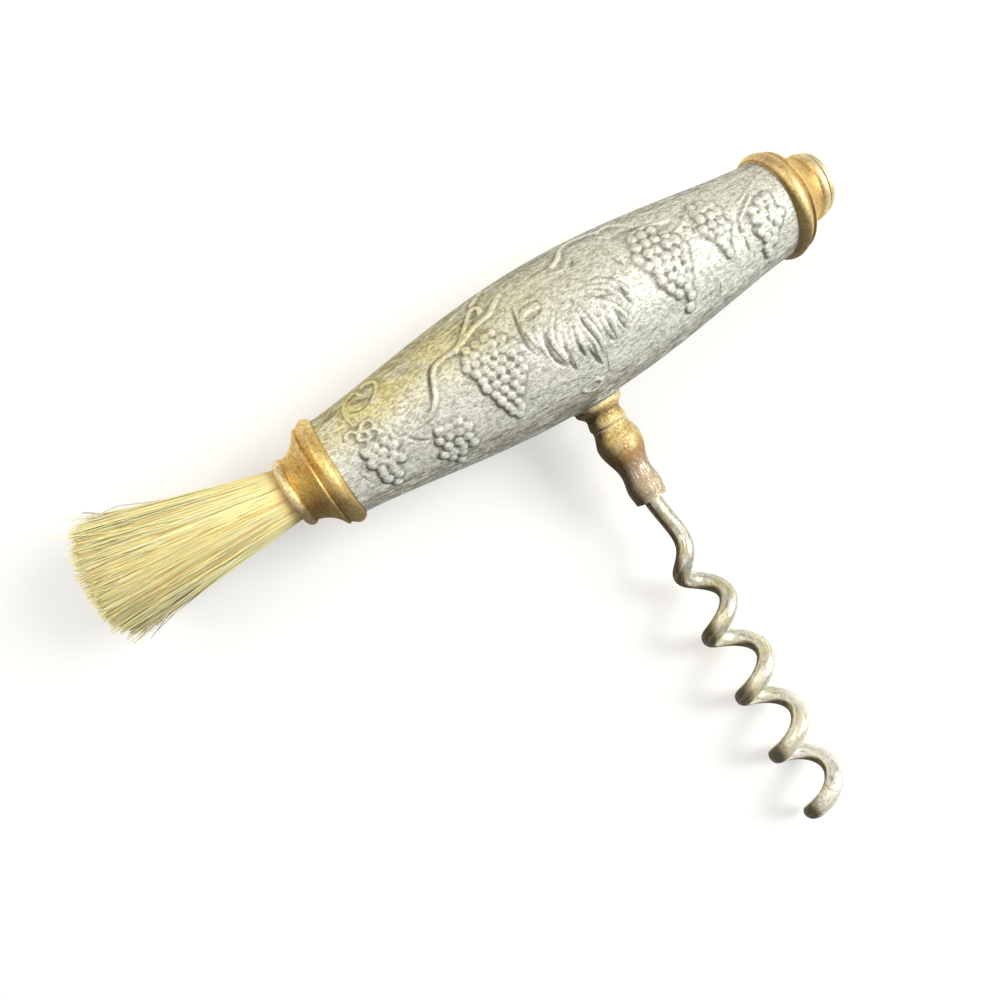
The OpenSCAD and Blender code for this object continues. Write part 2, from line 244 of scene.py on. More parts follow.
def growNodes(piece, makeTree, values):
    tree = makeTree(values)
    modifier = piece.modifiers.new(tree.name, "NODES")
    modifier.node_group = tree
    for item in tree.interface.items_tree:
        if item.in_out == "INPUT" and item.name in values:
            modifier[item.identifier] = values[item.name]
    graph = bpy.context.evaluated_depsgraph_get()
    grown = piece.evaluated_get(graph)
    mesh = bpy.data.meshes.new_from_object(grown, preserve_all_data_layers=True, depsgraph=graph)
    piece.modifiers.remove(modifier)
    piece.data = mesh
    return piece


def pointOutwards(mesh, weld=None):
    shell = bmesh.new()
    shell.from_mesh(mesh)
    if weld:
        bmesh.ops.remove_doubles(shell, verts=shell.verts, dist=weld)
    bmesh.ops.recalc_face_normals(shell, faces=shell.faces)
    shell.to_mesh(mesh)
    shell.free()
    mesh.shade_smooth()


# the lee is painted shade: it grows as a normal turns away from the lit direction
def markLee(mesh, litAndRubbed, fade):
    normals = np.empty(len(mesh.vertices) * 3, np.float32)
    mesh.vertex_normals.foreach_get("vector", normals)
    normals = normals.reshape(-1, 3)
    normals[:, 2] = np.abs(normals[:, 2])  # front and back alike
    lee = np.clip((paintedShade["startsAt"] - normals @ np.array(litAndRubbed)) / paintedShade["spread"], 0, 1)
    if fade:
        along = np.empty(len(mesh.vertices), np.float32)
        mesh.attributes["along"].data.foreach_get("value", along)
        lee *= np.interp(along, fade, (1.0, paintedShade["fadesTo"]))
    setFloats(mesh, "lee", lee)


def settle(piece, node, litAndRubbed=paintedShade["litAndRubbed"], fade=None):
    piece.data.transform(layDown)
    piece.data.update()
    markLee(piece.data, litAndRubbed, fade)
    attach(piece, "root")
    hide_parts(node)
    print(piece.name, "made:", len(piece.data.polygons), "faces")


# shader groups that several finishes share
wear = {
    "detail": 4.0, "roughness": 0.6, "grimeAndShade": (0.18, 0.85), "patches": (0.32, 0.68), "flecks": (0.38, 0.64),
    "veinScale": 0.55, "veinDetail": 3.0, "veins": (0.0, 0.07, 1.0, 0.0), "veinHeight": 0.3,
    "lineDetail": 3.0, "lineRoughness": 0.7, "lines": (0.52, 0.66),
}


# a ragged mask: fed the hollows it gives grime that also stands for their shade, fed the lee it gives
# painted shade
def makeRaggedGrimeAndShade(w):
    inputs = {"Vector": "Vector", "Hollow": "Float", "Spread": "Float", "Patch Scale": "Float"}
    bench, inp, out = newTree("raggedGrimeAndShade", "ShaderNodeTree", inputs, {"Grime And Shade": "Float"})
    broken = bench.clouds(inp["Vector"], inp["Patch Scale"], w["detail"], w["roughness"])
    ragged = bench.times(bench.minus(broken, noiseMiddle), inp["Spread"])
    bench.feed(out["Grime And Shade"], bench.ramp(bench.plus(inp["Hollow"], ragged), *w["grimeAndShade"]))
    return bench.tree


def makeMetalMottle(w):
    inputs = {"Vector": "Vector", "Stretch": "Vector", "Patch Scale": "Float", "Fleck Scale": "Float"}
    outputs = {"Patches": "Float", "Flecks": "Float", "Veins": "Float", "Height": "Float"}
    bench, inp, out = newTree("metalMottle", "ShaderNodeTree", inputs, outputs)
    drawn = bench.vectors("MULTIPLY", inp["Vector"], inp["Stretch"])
    patches = bench.clouds(inp["Vector"], inp["Patch Scale"], w["detail"], w["roughness"])
    fine = bench.clouds(drawn, inp["Fleck Scale"], w["detail"], w["roughness"])
    coarse = bench.clouds(drawn, bench.times(inp["Fleck Scale"], w["veinScale"]), w["veinDetail"])
    veins = bench.ramp(bench.sums("ABSOLUTE", bench.minus(coarse, noiseMiddle)), *w["veins"])
    bench.feed(out["Patches"], bench.ramp(patches, *w["patches"]))
    bench.feed(out["Flecks"], bench.ramp(fine, *w["flecks"]))
    bench.feed(out["Veins"], veins)
    bench.feed(out["Height"], bench.timesPlus(veins, w["veinHeight"], fine))
    return bench.tree


def makeLongScratches(w):
    inputs = {"Vector": "Vector", "Shift": "Vector", "Stretch": "Vector", "Scale": "Float"}
    outputs = {"Lines": "Float", "Height": "Float"}
    bench, inp, out = newTree("longScratches", "ShaderNodeTree", inputs, outputs)
    drawn = bench.vectors("MULTIPLY", bench.vectors("ADD", inp["Vector"], inp["Shift"]), inp["Stretch"])
    lines = bench.clouds(drawn, inp["Scale"], w["lineDetail"], w["lineRoughness"])
    bench.feed(out["Lines"], bench.ramp(lines, *w["lines"]))
    bench.feed(out["Height"], lines)
    return bench.tree


raggedGrimeAndShade = makeRaggedGrimeAndShade(wear)
metalMottle = makeMetalMottle(wear)
longScratches = makeLongScratches(wear)


# finishes: each look lists its colours, its masks and the coats painted over the ground
def newMaterial(name):
    material = bpy.data.materials.new(name)
    material.use_nodes = True
    material.node_tree.nodes.clear()
    return material, NodeBench(material.node_tree)


def newFinish(name):
    material, bench = newMaterial(name)
    shader = bench.node("ShaderNodeBsdfPrincipled")
    bench.node("ShaderNodeOutputMaterial", {"Surface": shader.outputs[0]})
    return material, bench, shader.inputs


def readMask(bench, masks, name, *limits):
    if name not in masks:
        masks[name] = bench.attribute(name)  # one that the mesh carries
    return bench.ramp(masks[name], *limits) if limits else masks[name]


def wearMasks(bench, look, where, lined):
    mottle = bench.group(metalMottle, {"Vector": where, **look["mottle"]})
    masks = {"patches": mottle["Patches"], "flecks": mottle["Flecks"], "veins": mottle["Veins"]}
    masks["mottleHeight"] = mottle["Height"]
    # grime with painted shade in the hollows, and painted shade on the lee sides
    for name, attribute in (("grimeAndShade", "hollow"), ("paintedShade", "lee")):
        if name in look:
            feeds = {"Vector": where, "Hollow": readMask(bench, masks, attribute), **look[name]}
            masks[name] = bench.group(raggedGrimeAndShade, feeds)["Grime And Shade"]
    for name, feeds in look["lines"].items():
        scratches = bench.group(longScratches, {"Vector": lined, **feeds})
        masks[name] = scratches["Lines"]
        masks[name + "Height"] = scratches["Height"]
    masks["stains"] = bench.clouds(lined, *look["stains"])
    return masks


def mixMasks(bench, look, masks):
    for name, factors in look["masks"].items():
        masks[name] = bench.times(*[readMask(bench, masks, *factor) for factor in factors])


def paintCoats(bench, look, masks, tones=None):
    colours = {name: shade(code) for name, code in look["colours"].items()}
    colours.update(tones or {})
    base = colours["ground"]
    for mask, colour, share, *mode in look["coats"]:
        amount = bench.times(readMask(bench, masks, mask), share)
        base = bench.tint(amount, base, colours[colour], *mode)
    return base


def finishMetal(bench, shader, look, masks, tones=None):
    bench.feed(shader["Base Color"], paintCoats(bench, look, masks, tones))
    mask, clean, dirty = look["metallic"]
    bench.feed(shader["Metallic"], bench.ramp(masks[mask], 0.0, 1.0, clean, dirty))
    mask, low, high = look["roughness"]
    even = bench.ramp(masks[mask], 0.0, 1.0, low, high)
    mask, share = look["dullness"]
    bench.feed(shader["Roughness"], bench.plus(even, bench.times(masks[mask], share)))
    shader["Specular IOR Level"].default_value = look["specular"]
    height = 0.0
    for name, share in look["relief"]:
        height = bench.timesPlus(masks[name], share, height)
    bench.feed(shader["Normal"], bench.dent(height, *look["dent"]))


# the warm film on the pewter lies on the brush half, away from the worm
pewterLook = {
    "colours": {"ground": "b6b8a8", "pale": "fbfbf4", "dull": "929587", "grimeAndShade": "33342a", "film": "fdefb0",
                "shadow": "5f5f49", "olive": "7d7440"},
    "mottle": {"Stretch": (0.55, 1.0, 1.0), "Patch Scale": 190.0, "Fleck Scale": 2250.0},
    "grimeAndShade": {"Spread": 0.3, "Patch Scale": 1500.0},
    "paintedShade": {"Spread": 0.5, "Patch Scale": 1900.0},
    "lines": {
        "scratches": {"Stretch": (0.11, 1.0, 1.0), "Scale": 1100.0},
        "bright": {"Shift": (0.31, 0.17, 0.23), "Stretch": (0.16, 1.0, 1.0), "Scale": 1700.0},
    },
    "stains": (160.0, 4.0),  # scale and detail
    "masks": {  # each a product of factors: a name, the range in which it turns and the values at both ends
        "crests": [("worn",), ("flank", 0.3, 0.8, 0.2, 0.65)],
        "film": [("x", 0.012, -0.034, 0.15, 1.0), ("y", -0.002, 0.006), ("stains", 0.3, 0.55, 0.45, 1.0)],
        "streaks": [("scratches",), ("flank", 0.3, 0.85, 0.0, 0.75), ("worn", 0.0, 0.6, 1.0, 0.2)],
        # painted shade along both sides of the sleeve, broken by the veins and the worn crests
        "edges": [("flank", 0.67, 0.96), ("veins", 0.0, 1.0, 0.65, 0.3), ("worn", 0.0, 0.6, 1.0, 0.15)],
        "gleam": [("bright",), ("flank", 0.3, 0.75, 0.0, 0.6)],
        # dark outlines round the raised marks: grime in the crevices with painted shadow, stronger on the
        # lee side
        "grapeLine": [("grapeEdge", 0.68, 0.88), ("grapeEdge", 1.1, 1.32, 1.0, 0.0),
                      ("lee", 0.0, 0.6, 0.3, 0.72)],
        "stemLine": [("stemEdge", 0.75, 1.0), ("stemEdge", 1.2, 1.55, 1.0, 0.0),
                     ("lee", 0.0, 0.6, 0.3, 0.6)],
        "leafLine": [("leafEdge", 0.6, 0.95), ("leafEdge", 1.1, 1.5, 1.0, 0.0),
                     ("lee", 0.0, 0.6, 0.3, 0.7)],
        "cutLine": [("cutEdge", -1.0, -0.5), ("cutEdge", 0.35, 0.95, 1.0, 0.0),
                    ("lee", 0.0, 0.6, 0.35, 0.55)],
    },
    "filmTones": {"streakTone": ("shadow", "olive"), "gleamTone": ("pale", "film")},  # off and on the film
    "coats": [  # mask, colour and share
        ("patches", "dull", 0.35), ("flecks", "pale", 0.5), ("veins", "pale", 0.7), ("crests", "pale", 1.0),
        ("film", "film", 1.0, "MULTIPLY"), ("streaks", "streakTone", 1.0), ("edges", "shadow", 1.0),
        # painted shade on the lee side, then grime with painted shade in the hollows and painted shadow
        # outlines round the marks
        ("paintedShade", "shadow", 0.6), ("gleam", "gleamTone", 1.0), ("grimeAndShade", "grimeAndShade", 0.5),
        ("grapeLine", "grimeAndShade", 1.0), ("stemLine", "grimeAndShade", 1.0), ("leafLine", "grimeAndShade", 1.0),
        ("cutLine", "grimeAndShade", 1.0),
    ],
    "metallic": ("grimeAndShade", 0.4, 0.15), "roughness": ("flecks", 0.6, 0.46), "dullness": ("grimeAndShade", 0.2),
    "specular": 0.5, "relief": [("mottleHeight", 1.0)], "dent": (0.14, 0.5),
}


def makePewter(look):
    material, bench, shader = newFinish("antiquedPewter")
    where = bench.place()
    masks = wearMasks(bench, look, where, where)
    masks["x"], masks["y"] = bench.parts(where)[:2]
    mixMasks(bench, look, masks)
    tones = {}
    for name, ends in look["filmTones"].items():
        tones[name] = bench.tint(masks["film"], *[shade(look["colours"][end]) for end in ends])
    finishMetal(bench, shader, look, masks, tones)
    return material


# copper shows in the cove at the brush end and on the ring at the plain end
brassLook = {
    "colours": {"ground": "e0b550", "bright": "f6d87a", "copper": "cc8c44", "brown": "7c5226",
                "light": "fdf1c4", "shadow": "2f2115"},
    "mottle": {"Stretch": (1.0, 1.0, 1.0), "Patch Scale": 260.0, "Fleck Scale": 2200.0},
    "grimeAndShade": {"Spread": 0.5, "Patch Scale": 420.0},
    "paintedShade": {"Spread": 0.35, "Patch Scale": 900.0},
    "lines": {"turned": {"Stretch": (1.0, 0.15, 0.15), "Scale": 4200.0}},
    "stains": (170.0, 4.0),
    "brushEnd": (2.2, 3.6, 0.25, 0.45), "plainEnd": (2.2, 3.6, 0.75, 0.35), "betweenEnds": (-0.01, 0.01),
    "masks": {
        "coppery": [("copperShare",), ("stains", 0.38, 0.6)],
        "crests": [("worn",), ("along", 2.5, 6.5, 0.2, 0.75)],
        "darkFlecks": [("flecks", 0.45, 0.0, 0.0, 0.32)],
        "paleEnd": [("x", -0.03, 0.04, 0.0, 0.15)],
    },
    "coats": [
        ("patches", "bright", 1.0), ("coppery", "copper", 1.0), ("veins", "light", 0.35),
        ("crests", "light", 1.0), ("turned", "brown", 0.28), ("darkFlecks", "brown", 1.0),
        # grime with painted shade in the hollows, a paler plain end, and painted shade on the lee side
        ("grimeAndShade", "brown", 0.2), ("paleEnd", "light", 1.0), ("paintedShade", "shadow", 0.75),
    ],
    "metallic": ("paintedShade", 0.75, 0.3), "roughness": ("flecks", 0.52, 0.4), "dullness": ("paintedShade", 0.3),
    "specular": 0.2, "relief": [("mottleHeight", 1.0), ("turnedHeight", 0.5)], "dent": (0.08, 0.5),
}


def makeFerruleBrass(look):
    material, bench, shader = newFinish("antiqueBrass")
    where = bench.place()
    masks = wearMasks(bench, look, where, where)
    masks["x"] = bench.parts(where)[0]
    ends = [readMask(bench, masks, "along", *look[end]) for end in ("brushEnd", "plainEnd")]
    masks["copperShare"] = bench.between(bench.ramp(masks["x"], *look["betweenEnds"]), *ends)
    mixMasks(bench, look, masks)
    finishMetal(bench, shader, look, masks)
    return material


# the gilding is rubbed off the lower shank, with a ragged edge given in millimetres from the handle axis
shankLook = {
    "colours": {"ground": "d6bc76", "light": "f8eec2", "brown": "a06c36", "grimeAndShade": "3a2a1a",
                "shadow": "241a10"},
    "mottle": {"Stretch": (1.0, 0.7, 1.0), "Patch Scale": 330.0, "Fleck Scale": 2400.0},
    "grimeAndShade": {"Spread": 0.6, "Patch Scale": 500.0},
    "paintedShade": {"Spread": 0.35, "Patch Scale": 1200.0},
    "lines": {
        "turned": {"Stretch": (0.15, 1.0, 0.15), "Scale": 3600.0},
        "rubbing": {"Stretch": (1.0, 0.2, 1.0), "Scale": 2000.0},
    },
    "stains": (330.0, 4.0), "raggedness": 6.0,
    "masks": {
        "litAndRubbed": [("edge", 22.6, 24.4)],
        "browned": [("edge", 20.8, 22.8), ("edge", 26.5, 23.2)],
        "darkFlecks": [("flecks", 0.4, 0.0, 0.0, 0.25)],
    },
    "bare": {
        "colours": {"ground": "b8aa96", "pale": "fdf8ee", "brown": "a06c36"},
        "coats": [("rubbing", "pale", 1.0), ("veins", "brown", 0.38)],
    },
    "coats": [
        ("patches", "brown", 0.35), ("flecks", "light", 0.5), ("turned", "brown", 0.35),
        ("darkFlecks", "brown", 1.0), ("litAndRubbed", "bare", 0.92), ("browned", "brown", 0.6),
        # grime with painted shade in the hollows, and painted shade down the lee side
        ("worn", "light", 0.3), ("grimeAndShade", "grimeAndShade", 0.4), ("paintedShade", "shadow", 0.88),
    ],
    "metallic": ("paintedShade", 0.7, 0.25), "roughness": ("flecks", 0.6, 0.46), "dullness": ("paintedShade", 0.3),
    "specular": 0.2, "relief": [("mottleHeight", 1.0), ("turnedHeight", 0.8)], "dent": (0.14, 0.6),
}


def makeShankBrass(look):
    material, bench, shader = newFinish("wornShankBrass")
    where = bench.place()
    masks = wearMasks(bench, look, where, where)
    ragged = bench.times(bench.minus(masks["stains"], noiseMiddle), look["raggedness"])
    masks["edge"] = bench.plus(readMask(bench, masks, "along"), ragged)
    mixMasks(bench, look, masks)
    bare = paintCoats(bench, look["bare"], masks)
    finishMetal(bench, shader, look, masks, {"bare": bare})
    return material


# the worm goes from dull to pale down its length and is nicked across near its end, in millimetres as above
wormLook = {
    "colours": {"ground": "d8d5c6", "pale": "fffef4", "warm": "f2e6a4", "amber": "c4ac68", "dark": "5f5646",
                "shadow": "241f18"},
    "mottle": {"Stretch": (1.0, 1.0, 1.0), "Patch Scale": 260.0, "Fleck Scale": 2000.0},
    "paintedShade": {"Spread": 0.3, "Patch Scale": 900.0},
    "lines": {
        "scratch": {"Stretch": (1.0, 1.0, 0.12), "Scale": 5.0},
        "gleam": {"Shift": (3.7, 1.9, 5.3), "Stretch": (1.0, 1.0, 0.13), "Scale": 4.0},
        "nicks": {"Stretch": (0.35, 0.35, 1.0), "Scale": 3.2},
    },
    # the painted shade on the lee side thins out over the worm's last turns
    "stains": (0.7, 3.0), "paintedShadeFrom": (68.0, 88.0, 0.0, 0.2), "paintedShadeTo": 1.1,
    "masks": {
        "film": [("stains", 0.42, 0.62, 0.0, 0.55)],
        "paleEnd": [("down", 68.0, 88.0, 0.0, 0.65)],
        "dullStart": [("down", 34.0, 70.0, 0.5, 0.0)],
        "nicked": [("down", 86.0, 91.0), ("nicks",)],
        # a warm rim where the painted shade begins, then the painted shade, lighter under the gleam lines
        "amberShadeRim": [("paintedShade", 0.0, 0.35, 0.0, 0.5)],
        "shadedSide": [("paintedShade",), ("gleam", 0.0, 1.0, 0.92, 0.72)],
    },
    "coats": [
        ("flecks", "pale", 1.0), ("film", "warm", 1.0), ("paleEnd", "pale", 1.0),
        ("dullStart", "dark", 1.0), ("scratch", "dark", 0.7), ("gleam", "pale", 0.85),
        ("nicked", "dark", 0.5), ("amberShadeRim", "amber", 1.0), ("shadedSide", "shadow", 1.0),
    ],
    "metallic": ("paintedShade", 0.65, 0.35), "roughness": ("patches", 0.34, 0.48), "dullness": ("paintedShade", 0.3),
    "specular": 0.2, "relief": [("scratchHeight", 1.0), ("mottleHeight", 0.4), ("nicked", -0.5)],
    "dent": (0.12, 0.6),
}


def makeWormSteel(look):
    material, bench, shader = newFinish("drawnWormSteel")
    where = bench.place()
    wire = bench.attribute("wirePlace", "Vector")
    masks = wearMasks(bench, look, where, wire)
    masks["down"] = bench.parts(wire)[2]
    # painted shade on the lee side, thinning towards the tip
    start = bench.ramp(masks["down"], *look["paintedShadeFrom"])
    masks["paintedShade"] = bench.ramp(masks["paintedShade"], start, look["paintedShadeTo"])
    mixMasks(bench, look, masks)
    finishMetal(bench, shader, look, masks)
    return material


# the strands are lit as one soft tuft, with a small share of their own roundness
strawLook = {
    "colours": {"ground": "fffabe", "gold": "ffec98", "brown": "e2aa4a", "root": "f6ca70",
                "dark": "4a3a26"},
    "streaks": (45.0, 3.0), "streakLength": 0.08,
    "masks": {
        "golden": [("tone", 0.25, 0.95)],
        "streaked": [("streak", 0.54, 0.7, 0.0, 0.22)],
        "browned": [("tone", 0.84, 0.97, 0.0, 0.6)],
        "darkHair": [("tone", 0.99, 1.02, 0.0, 0.9)],
        "atRoot": [("along", 0.16, 0.04, 0.0, 0.75)],
    },
    "coats": [
        ("golden", "gold", 1.0), ("streaked", "brown", 1.0), ("browned", "brown", 1.0),
        ("darkHair", "dark", 1.0), ("atRoot", "root", 1.0),
    ],
    "crown": (0.0, 0.35, 1.0), "lift": (0.3, 0.0, 0.3), "ownShare": 0.12,
    "roughness": (0.3, 0.7, 0.45, 0.62), "dent": 0.05, "sheen": 0.3,
}


def makeStraw(look):
    material, bench, shader = newFinish("strawBristle")
    masks = {}
    outward = bench.vectors("NORMALIZE", bench.attribute("outward", "Vector"))
    drawn = bench.times(readMask(bench, masks, "along"), look["streakLength"])
    fanned = bench.vectors("ADD", outward, bench.combined(drawn, 0.0, 0.0))
    masks["streak"] = bench.clouds(fanned, *look["streaks"])
    mixMasks(bench, look, masks)
    bench.feed(shader["Base Color"], paintCoats(bench, look, masks))
    bench.feed(shader["Roughness"], bench.ramp(masks["streak"], *look["roughness"]))
    tuft = bench.vectors("NORMALIZE", bench.vectors("MULTIPLY_ADD", outward, look["crown"], look["lift"]))
    own = bench.node("ShaderNodeNewGeometry").outputs["Normal"]
    soft = bench.vectors("NORMALIZE", bench.vectors("ADD", bench.stretched(own, look["ownShare"]), tuft))
    feeds = {"Height": masks["streak"], "Distance": look["dent"] * mm, "Normal": soft}
    bench.feed(shader["Normal"], bench.put("ShaderNodeBump", feeds))
    shader["Sheen Weight"].default_value = look["sheen"]
    return material


innerLooks = {
    "turnedBeech": {"stretch": (0.06, 1.0, 1.0), "clouds": (900.0, 4.0), "colours": ("caa273", "9d7446"),
                    "roughness": (0.3, 0.7, 0.5, 0.7), "dent": 0.04},
    "settingPitch": {"stretch": (1.0, 1.0, 1.0), "clouds": (700.0, 4.0), "colours": ("2a1d12", "4a3421"),
                     "roughness": (0.3, 0.7, 0.25, 0.55), "dent": 0.15},
}
innerMix = (0.35, 0.7)  # where the second colour starts and where it is full


def makeInner(name):
    look = innerLooks[name]
    material, bench, shader = newFinish(name)
    figure = bench.clouds(bench.vectors("MULTIPLY", bench.place(), look["stretch"]), *look["clouds"])
    base = bench.tint(bench.ramp(figure, *innerMix), *[shade(code) for code in look["colours"]])
    bench.feed(shader["Base Color"], base)
    bench.feed(shader["Roughness"], bench.ramp(figure, *look["roughness"]))
    bench.feed(shader["Normal"], bench.dent(figure, look["dent"]))
    return material


pewter = makePewter(pewterLook)
ferruleBrass = makeFerruleBrass(brassLook)
shankBrass = makeShankBrass(shankLook)
wormSteel = makeWormSteel(wormLook)
straw = makeStraw(strawLook)
beech = makeInner("turnedBeech")
pitchBlack = makeInner("settingPitch")
print("finishes made")

# turned pieces: an outline of (distance, radius) spun about the handle or the shank
turning = {
    "sides": 112, "spacing": 0.14, "cavityReach": 0.55, "cavityDepth": 0.10, "cavitySpan": 3,
    "arcSteps": 24, "weld": 1e-5, "sharpAngle": 42.0,
}


def arc(middle, radius, start, end):
    steps = turning["arcSteps"]
    turns = [math.radians(start + (end - start) * i / steps) for i in range(steps + 1)]
    return [(middle[0] + radius * math.sin(t), middle[1] + radius * math.cos(t)) for t in turns]


def evenly(points, closed):
    path = np.array(points + [points[0]] if closed else points, float)
    steps = np.hypot(*np.diff(path, axis=0).T)
    apart = steps > nearZero
    path = path[np.append(True, apart)]
    run = np.append(0, np.cumsum(steps[apart]))
    places = np.linspace(0, run[-1], int(round(run[-1] / turning["spacing"])) + 1)
    even = np.column_stack([np.interp(places, run, path[:, k]) for k in (0, 1)])
    return even[:-1] if closed else even


def cavity(path, closed):
    spacing = turning["spacing"]
    reach = int(math.ceil(turning["cavitySpan"] * turning["cavityReach"] / spacing))
    weights = np.exp(-0.5 * (np.arange(-reach, reach + 1) * spacing / turning["cavityReach"]) ** 2)
    weights /= weights.sum()
    padded = np.pad(path, ((reach, reach), (0, 0)), mode="wrap" if closed else "edge")
    soft = np.column_stack([np.convolve(padded[:, k], weights, "valid") for k in (0, 1)])
    ahead = np.roll(path, -1, 0) - np.roll(path, 1, 0)
    if not closed:
        ahead[0] = path[1] - path[0]
        ahead[-1] = path[-1] - path[-2]
    outward = np.column_stack([-ahead[:, 1], ahead[:, 0]])
    outward /= np.linalg.norm(outward, axis=1)[:, None] + nearZero
    return ((soft - path) * outward).sum(1) / turning["cavityDepth"]


def turned(name, outline, spin, finish, closed=True):
    sides = turning["sides"]
    path = evenly(outline, closed)
    depth = cavity(path, closed)
    around = np.linspace(0, fullTurn, sides, endpoint=False)
    spots = [spin(d, r * math.cos(t), r * math.sin(t)) for d, r in path for t in around]
    rows = len(path)
    faces = [(i * sides + k, i * sides + (k + 1) % sides,
              (i + 1) % rows * sides + (k + 1) % sides, (i + 1) % rows * sides + k)
             for i in range(rows if closed else rows - 1) for k in range(sides)]
    mesh = bpy.data.meshes.new(name)
    mesh.from_pydata(spots, [], faces)
    setFloats(mesh, "hollow", np.repeat(np.clip(depth, 0, 1), sides))
    setFloats(mesh, "worn", np.repeat(np.clip(-depth, 0, 1), sides))
    setFloats(mesh, "along", np.repeat(path[:, 0], sides))
    pointOutwards(mesh, turning["weld"])
    mesh.set_sharp_from_angle(angle=math.radians(turning["sharpAngle"]))
    mesh.materials.append(finish)
    return newPiece(name, mesh)


def brushEnd(d, across, up):
    return (-halfSleeve - d, across, up)


def plainEnd(d, across, up):
    return (halfSleeve + d, across, up)


def downShank(d, across, up):
    return (across, -d, up)


# ferrules, with distances from the end of the sleeve
ferrule = {
    "coreR": 5.55, "coreDepth": 4.42, "mouthR": 4.75, "blockR": 8.6, "mouth": 9.0,
    "ring": (1.35, 8.25), "ringR": 1.3, "flankSlope": 38.0,
    "quirk": 3.25, "quirkWidth": 0.6, "quirkTip": 8.9, "quirkFlat": 0.15,
    "coveEnd": 7.15, "coveFloor": 5.65, "coveSag": 0.5, "coveSteps": 16,
    "bead": (8.1, 5.05), "beadR": 0.95,
    "ends": [  # piece, node, end, the lit direction that its painted shade faces away from, and where that shade fades
        ("brushFerrule", "brush_ferrule", brushEnd, (0.15, 0.8, 0.42), None),
        ("plainFerrule", "end_ferrule", plainEnd, (0.6, 0.85, 0.5), (2.6, 4.0)),
    ],
}


def coveCurve(f):
    start = f["quirk"] + f["quirkWidth"] / 2
    run = f["coveEnd"] - start
    fall = f["blockR"] - f["coveFloor"]
    slope = math.hypot(run, fall)
    curve = []
    for i in range(f["coveSteps"] + 1):
        t = i / f["coveSteps"]
        sag = 4 * f["coveSag"] * t * (1 - t)
        curve.append((start + run * t - sag * fall / slope, f["blockR"] - fall * t - sag * run / slope))
    return curve


def ferruleOutline(f):
    flat = f["quirkFlat"] / 2
    shoulder = math.degrees(math.acos((f["blockR"] - f["ring"][1]) / f["ringR"]))
    ring = arc(f["ring"], f["ringR"], -shoulder, f["flankSlope"])
    foot = f["quirk"] - f["quirkWidth"] / 2
    footR = ring[-1][1] - (foot - ring[-1][0]) * math.tan(math.radians(f["flankSlope"]))
    lean = math.degrees(math.acos((f["coveFloor"] - f["bead"][1]) / f["beadR"]))
    lip = 180 - math.degrees(math.asin((f["mouth"] - f["bead"][0]) / f["beadR"]))
    outline = [(0.0, f["coreR"]), (0.0, f["blockR"])] + ring + [(foot, footR)]
    outline += [(f["quirk"] - flat, f["quirkTip"]), (f["quirk"] + flat, f["quirkTip"])]
    outline += coveCurve(f) + arc(f["bead"], f["beadR"], -lean, lip)
    outline += [(f["mouth"], f["mouthR"]), (f["coreDepth"], f["mouthR"]), (f["coreDepth"], f["coreR"])]
    return outline


for ferruleName, node, spin, litAndRubbed, fade in ferrule["ends"]:
    piece = turned(ferruleName, ferruleOutline(ferrule), spin, ferruleBrass)
    settle(piece, node, litAndRubbed, fade)

button = {
    "plugR": 4.7, "plugFrom": 5.4, "rimR": 5.5, "foot": 9.07, "face": 10.07, "rimRound": 0.55,
    # the lit direction for the button's painted shade
    "litAndRubbed": (0.9, 0.2, 0.9),
}


def buttonOutline(b):
    inner = b["rimR"] - b["rimRound"]
    outline = [(b["plugFrom"], 0.0), (b["plugFrom"], b["plugR"])]
    outline += [(b["foot"], b["plugR"]), (b["foot"], b["rimR"])]
    outline += arc((b["face"] - b["rimRound"], inner), b["rimRound"], 0, 90)
    return outline + [(b["face"], 0.0)]


buttonPiece = turned("endButton", buttonOutline(button), plainEnd, ferruleBrass, False)
settle(buttonPiece, "end_button", button["litAndRubbed"])

# collar and shank, with distances from the handle axis
shank = {
    "flange": (12.97, 4.25),
    "collar": [(13.42, 4.25), (15.07, 3.1), (16.72, 3.35), (17.22, 3.15)],
    "body": [(17.24, 3.15), (20.54, 3.95), (26.24, 2.7), (29.34, 3.1), (31.64, 2.85)],
    "spigotR": 2.2, "spigotHoleR": 2.25, "spigotStop": 1.8, "wireHoleR": 1.575, "wireHoleTop": 22.62,
    "swellSteps": 14,
}


def swell(stations):
    outline = []
    for (d0, r0), (d1, r1) in zip(stations, stations[1:]):
        for i in range(shank["swellSteps"]):
            t = i / shank["swellSteps"]
            outline.append((d0 + (d1 - d0) * t, r0 + (r1 - r0) * (1 - math.cos(math.pi * t)) / 2))
    return outline + [stations[-1]]


collarOutline = [shank["flange"]] + swell(shank["collar"])
for end in (shank["collar"][-1], shank["flange"]):
    collarOutline.append((end[0], shank["spigotHoleR"]))
settle(turned("shankCollar", collarOutline, downShank, shankBrass), "shank_collar")

shankOutline = [(shank["spigotStop"], 0.0), (shank["spigotStop"], shank["spigotR"])]
shankOutline += [(shank["body"][0][0], shank["spigotR"])] + swell(shank["body"])
shankOutline += [(shank["body"][-1][0], shank["wireHoleR"]), (shank["wireHoleTop"], shank["wireHoleR"])]
shankOutline += [(shank["wireHoleTop"], 0.0)]
settle(turned("turnedShank", shankOutline, downShank, shankBrass, False), "shank")

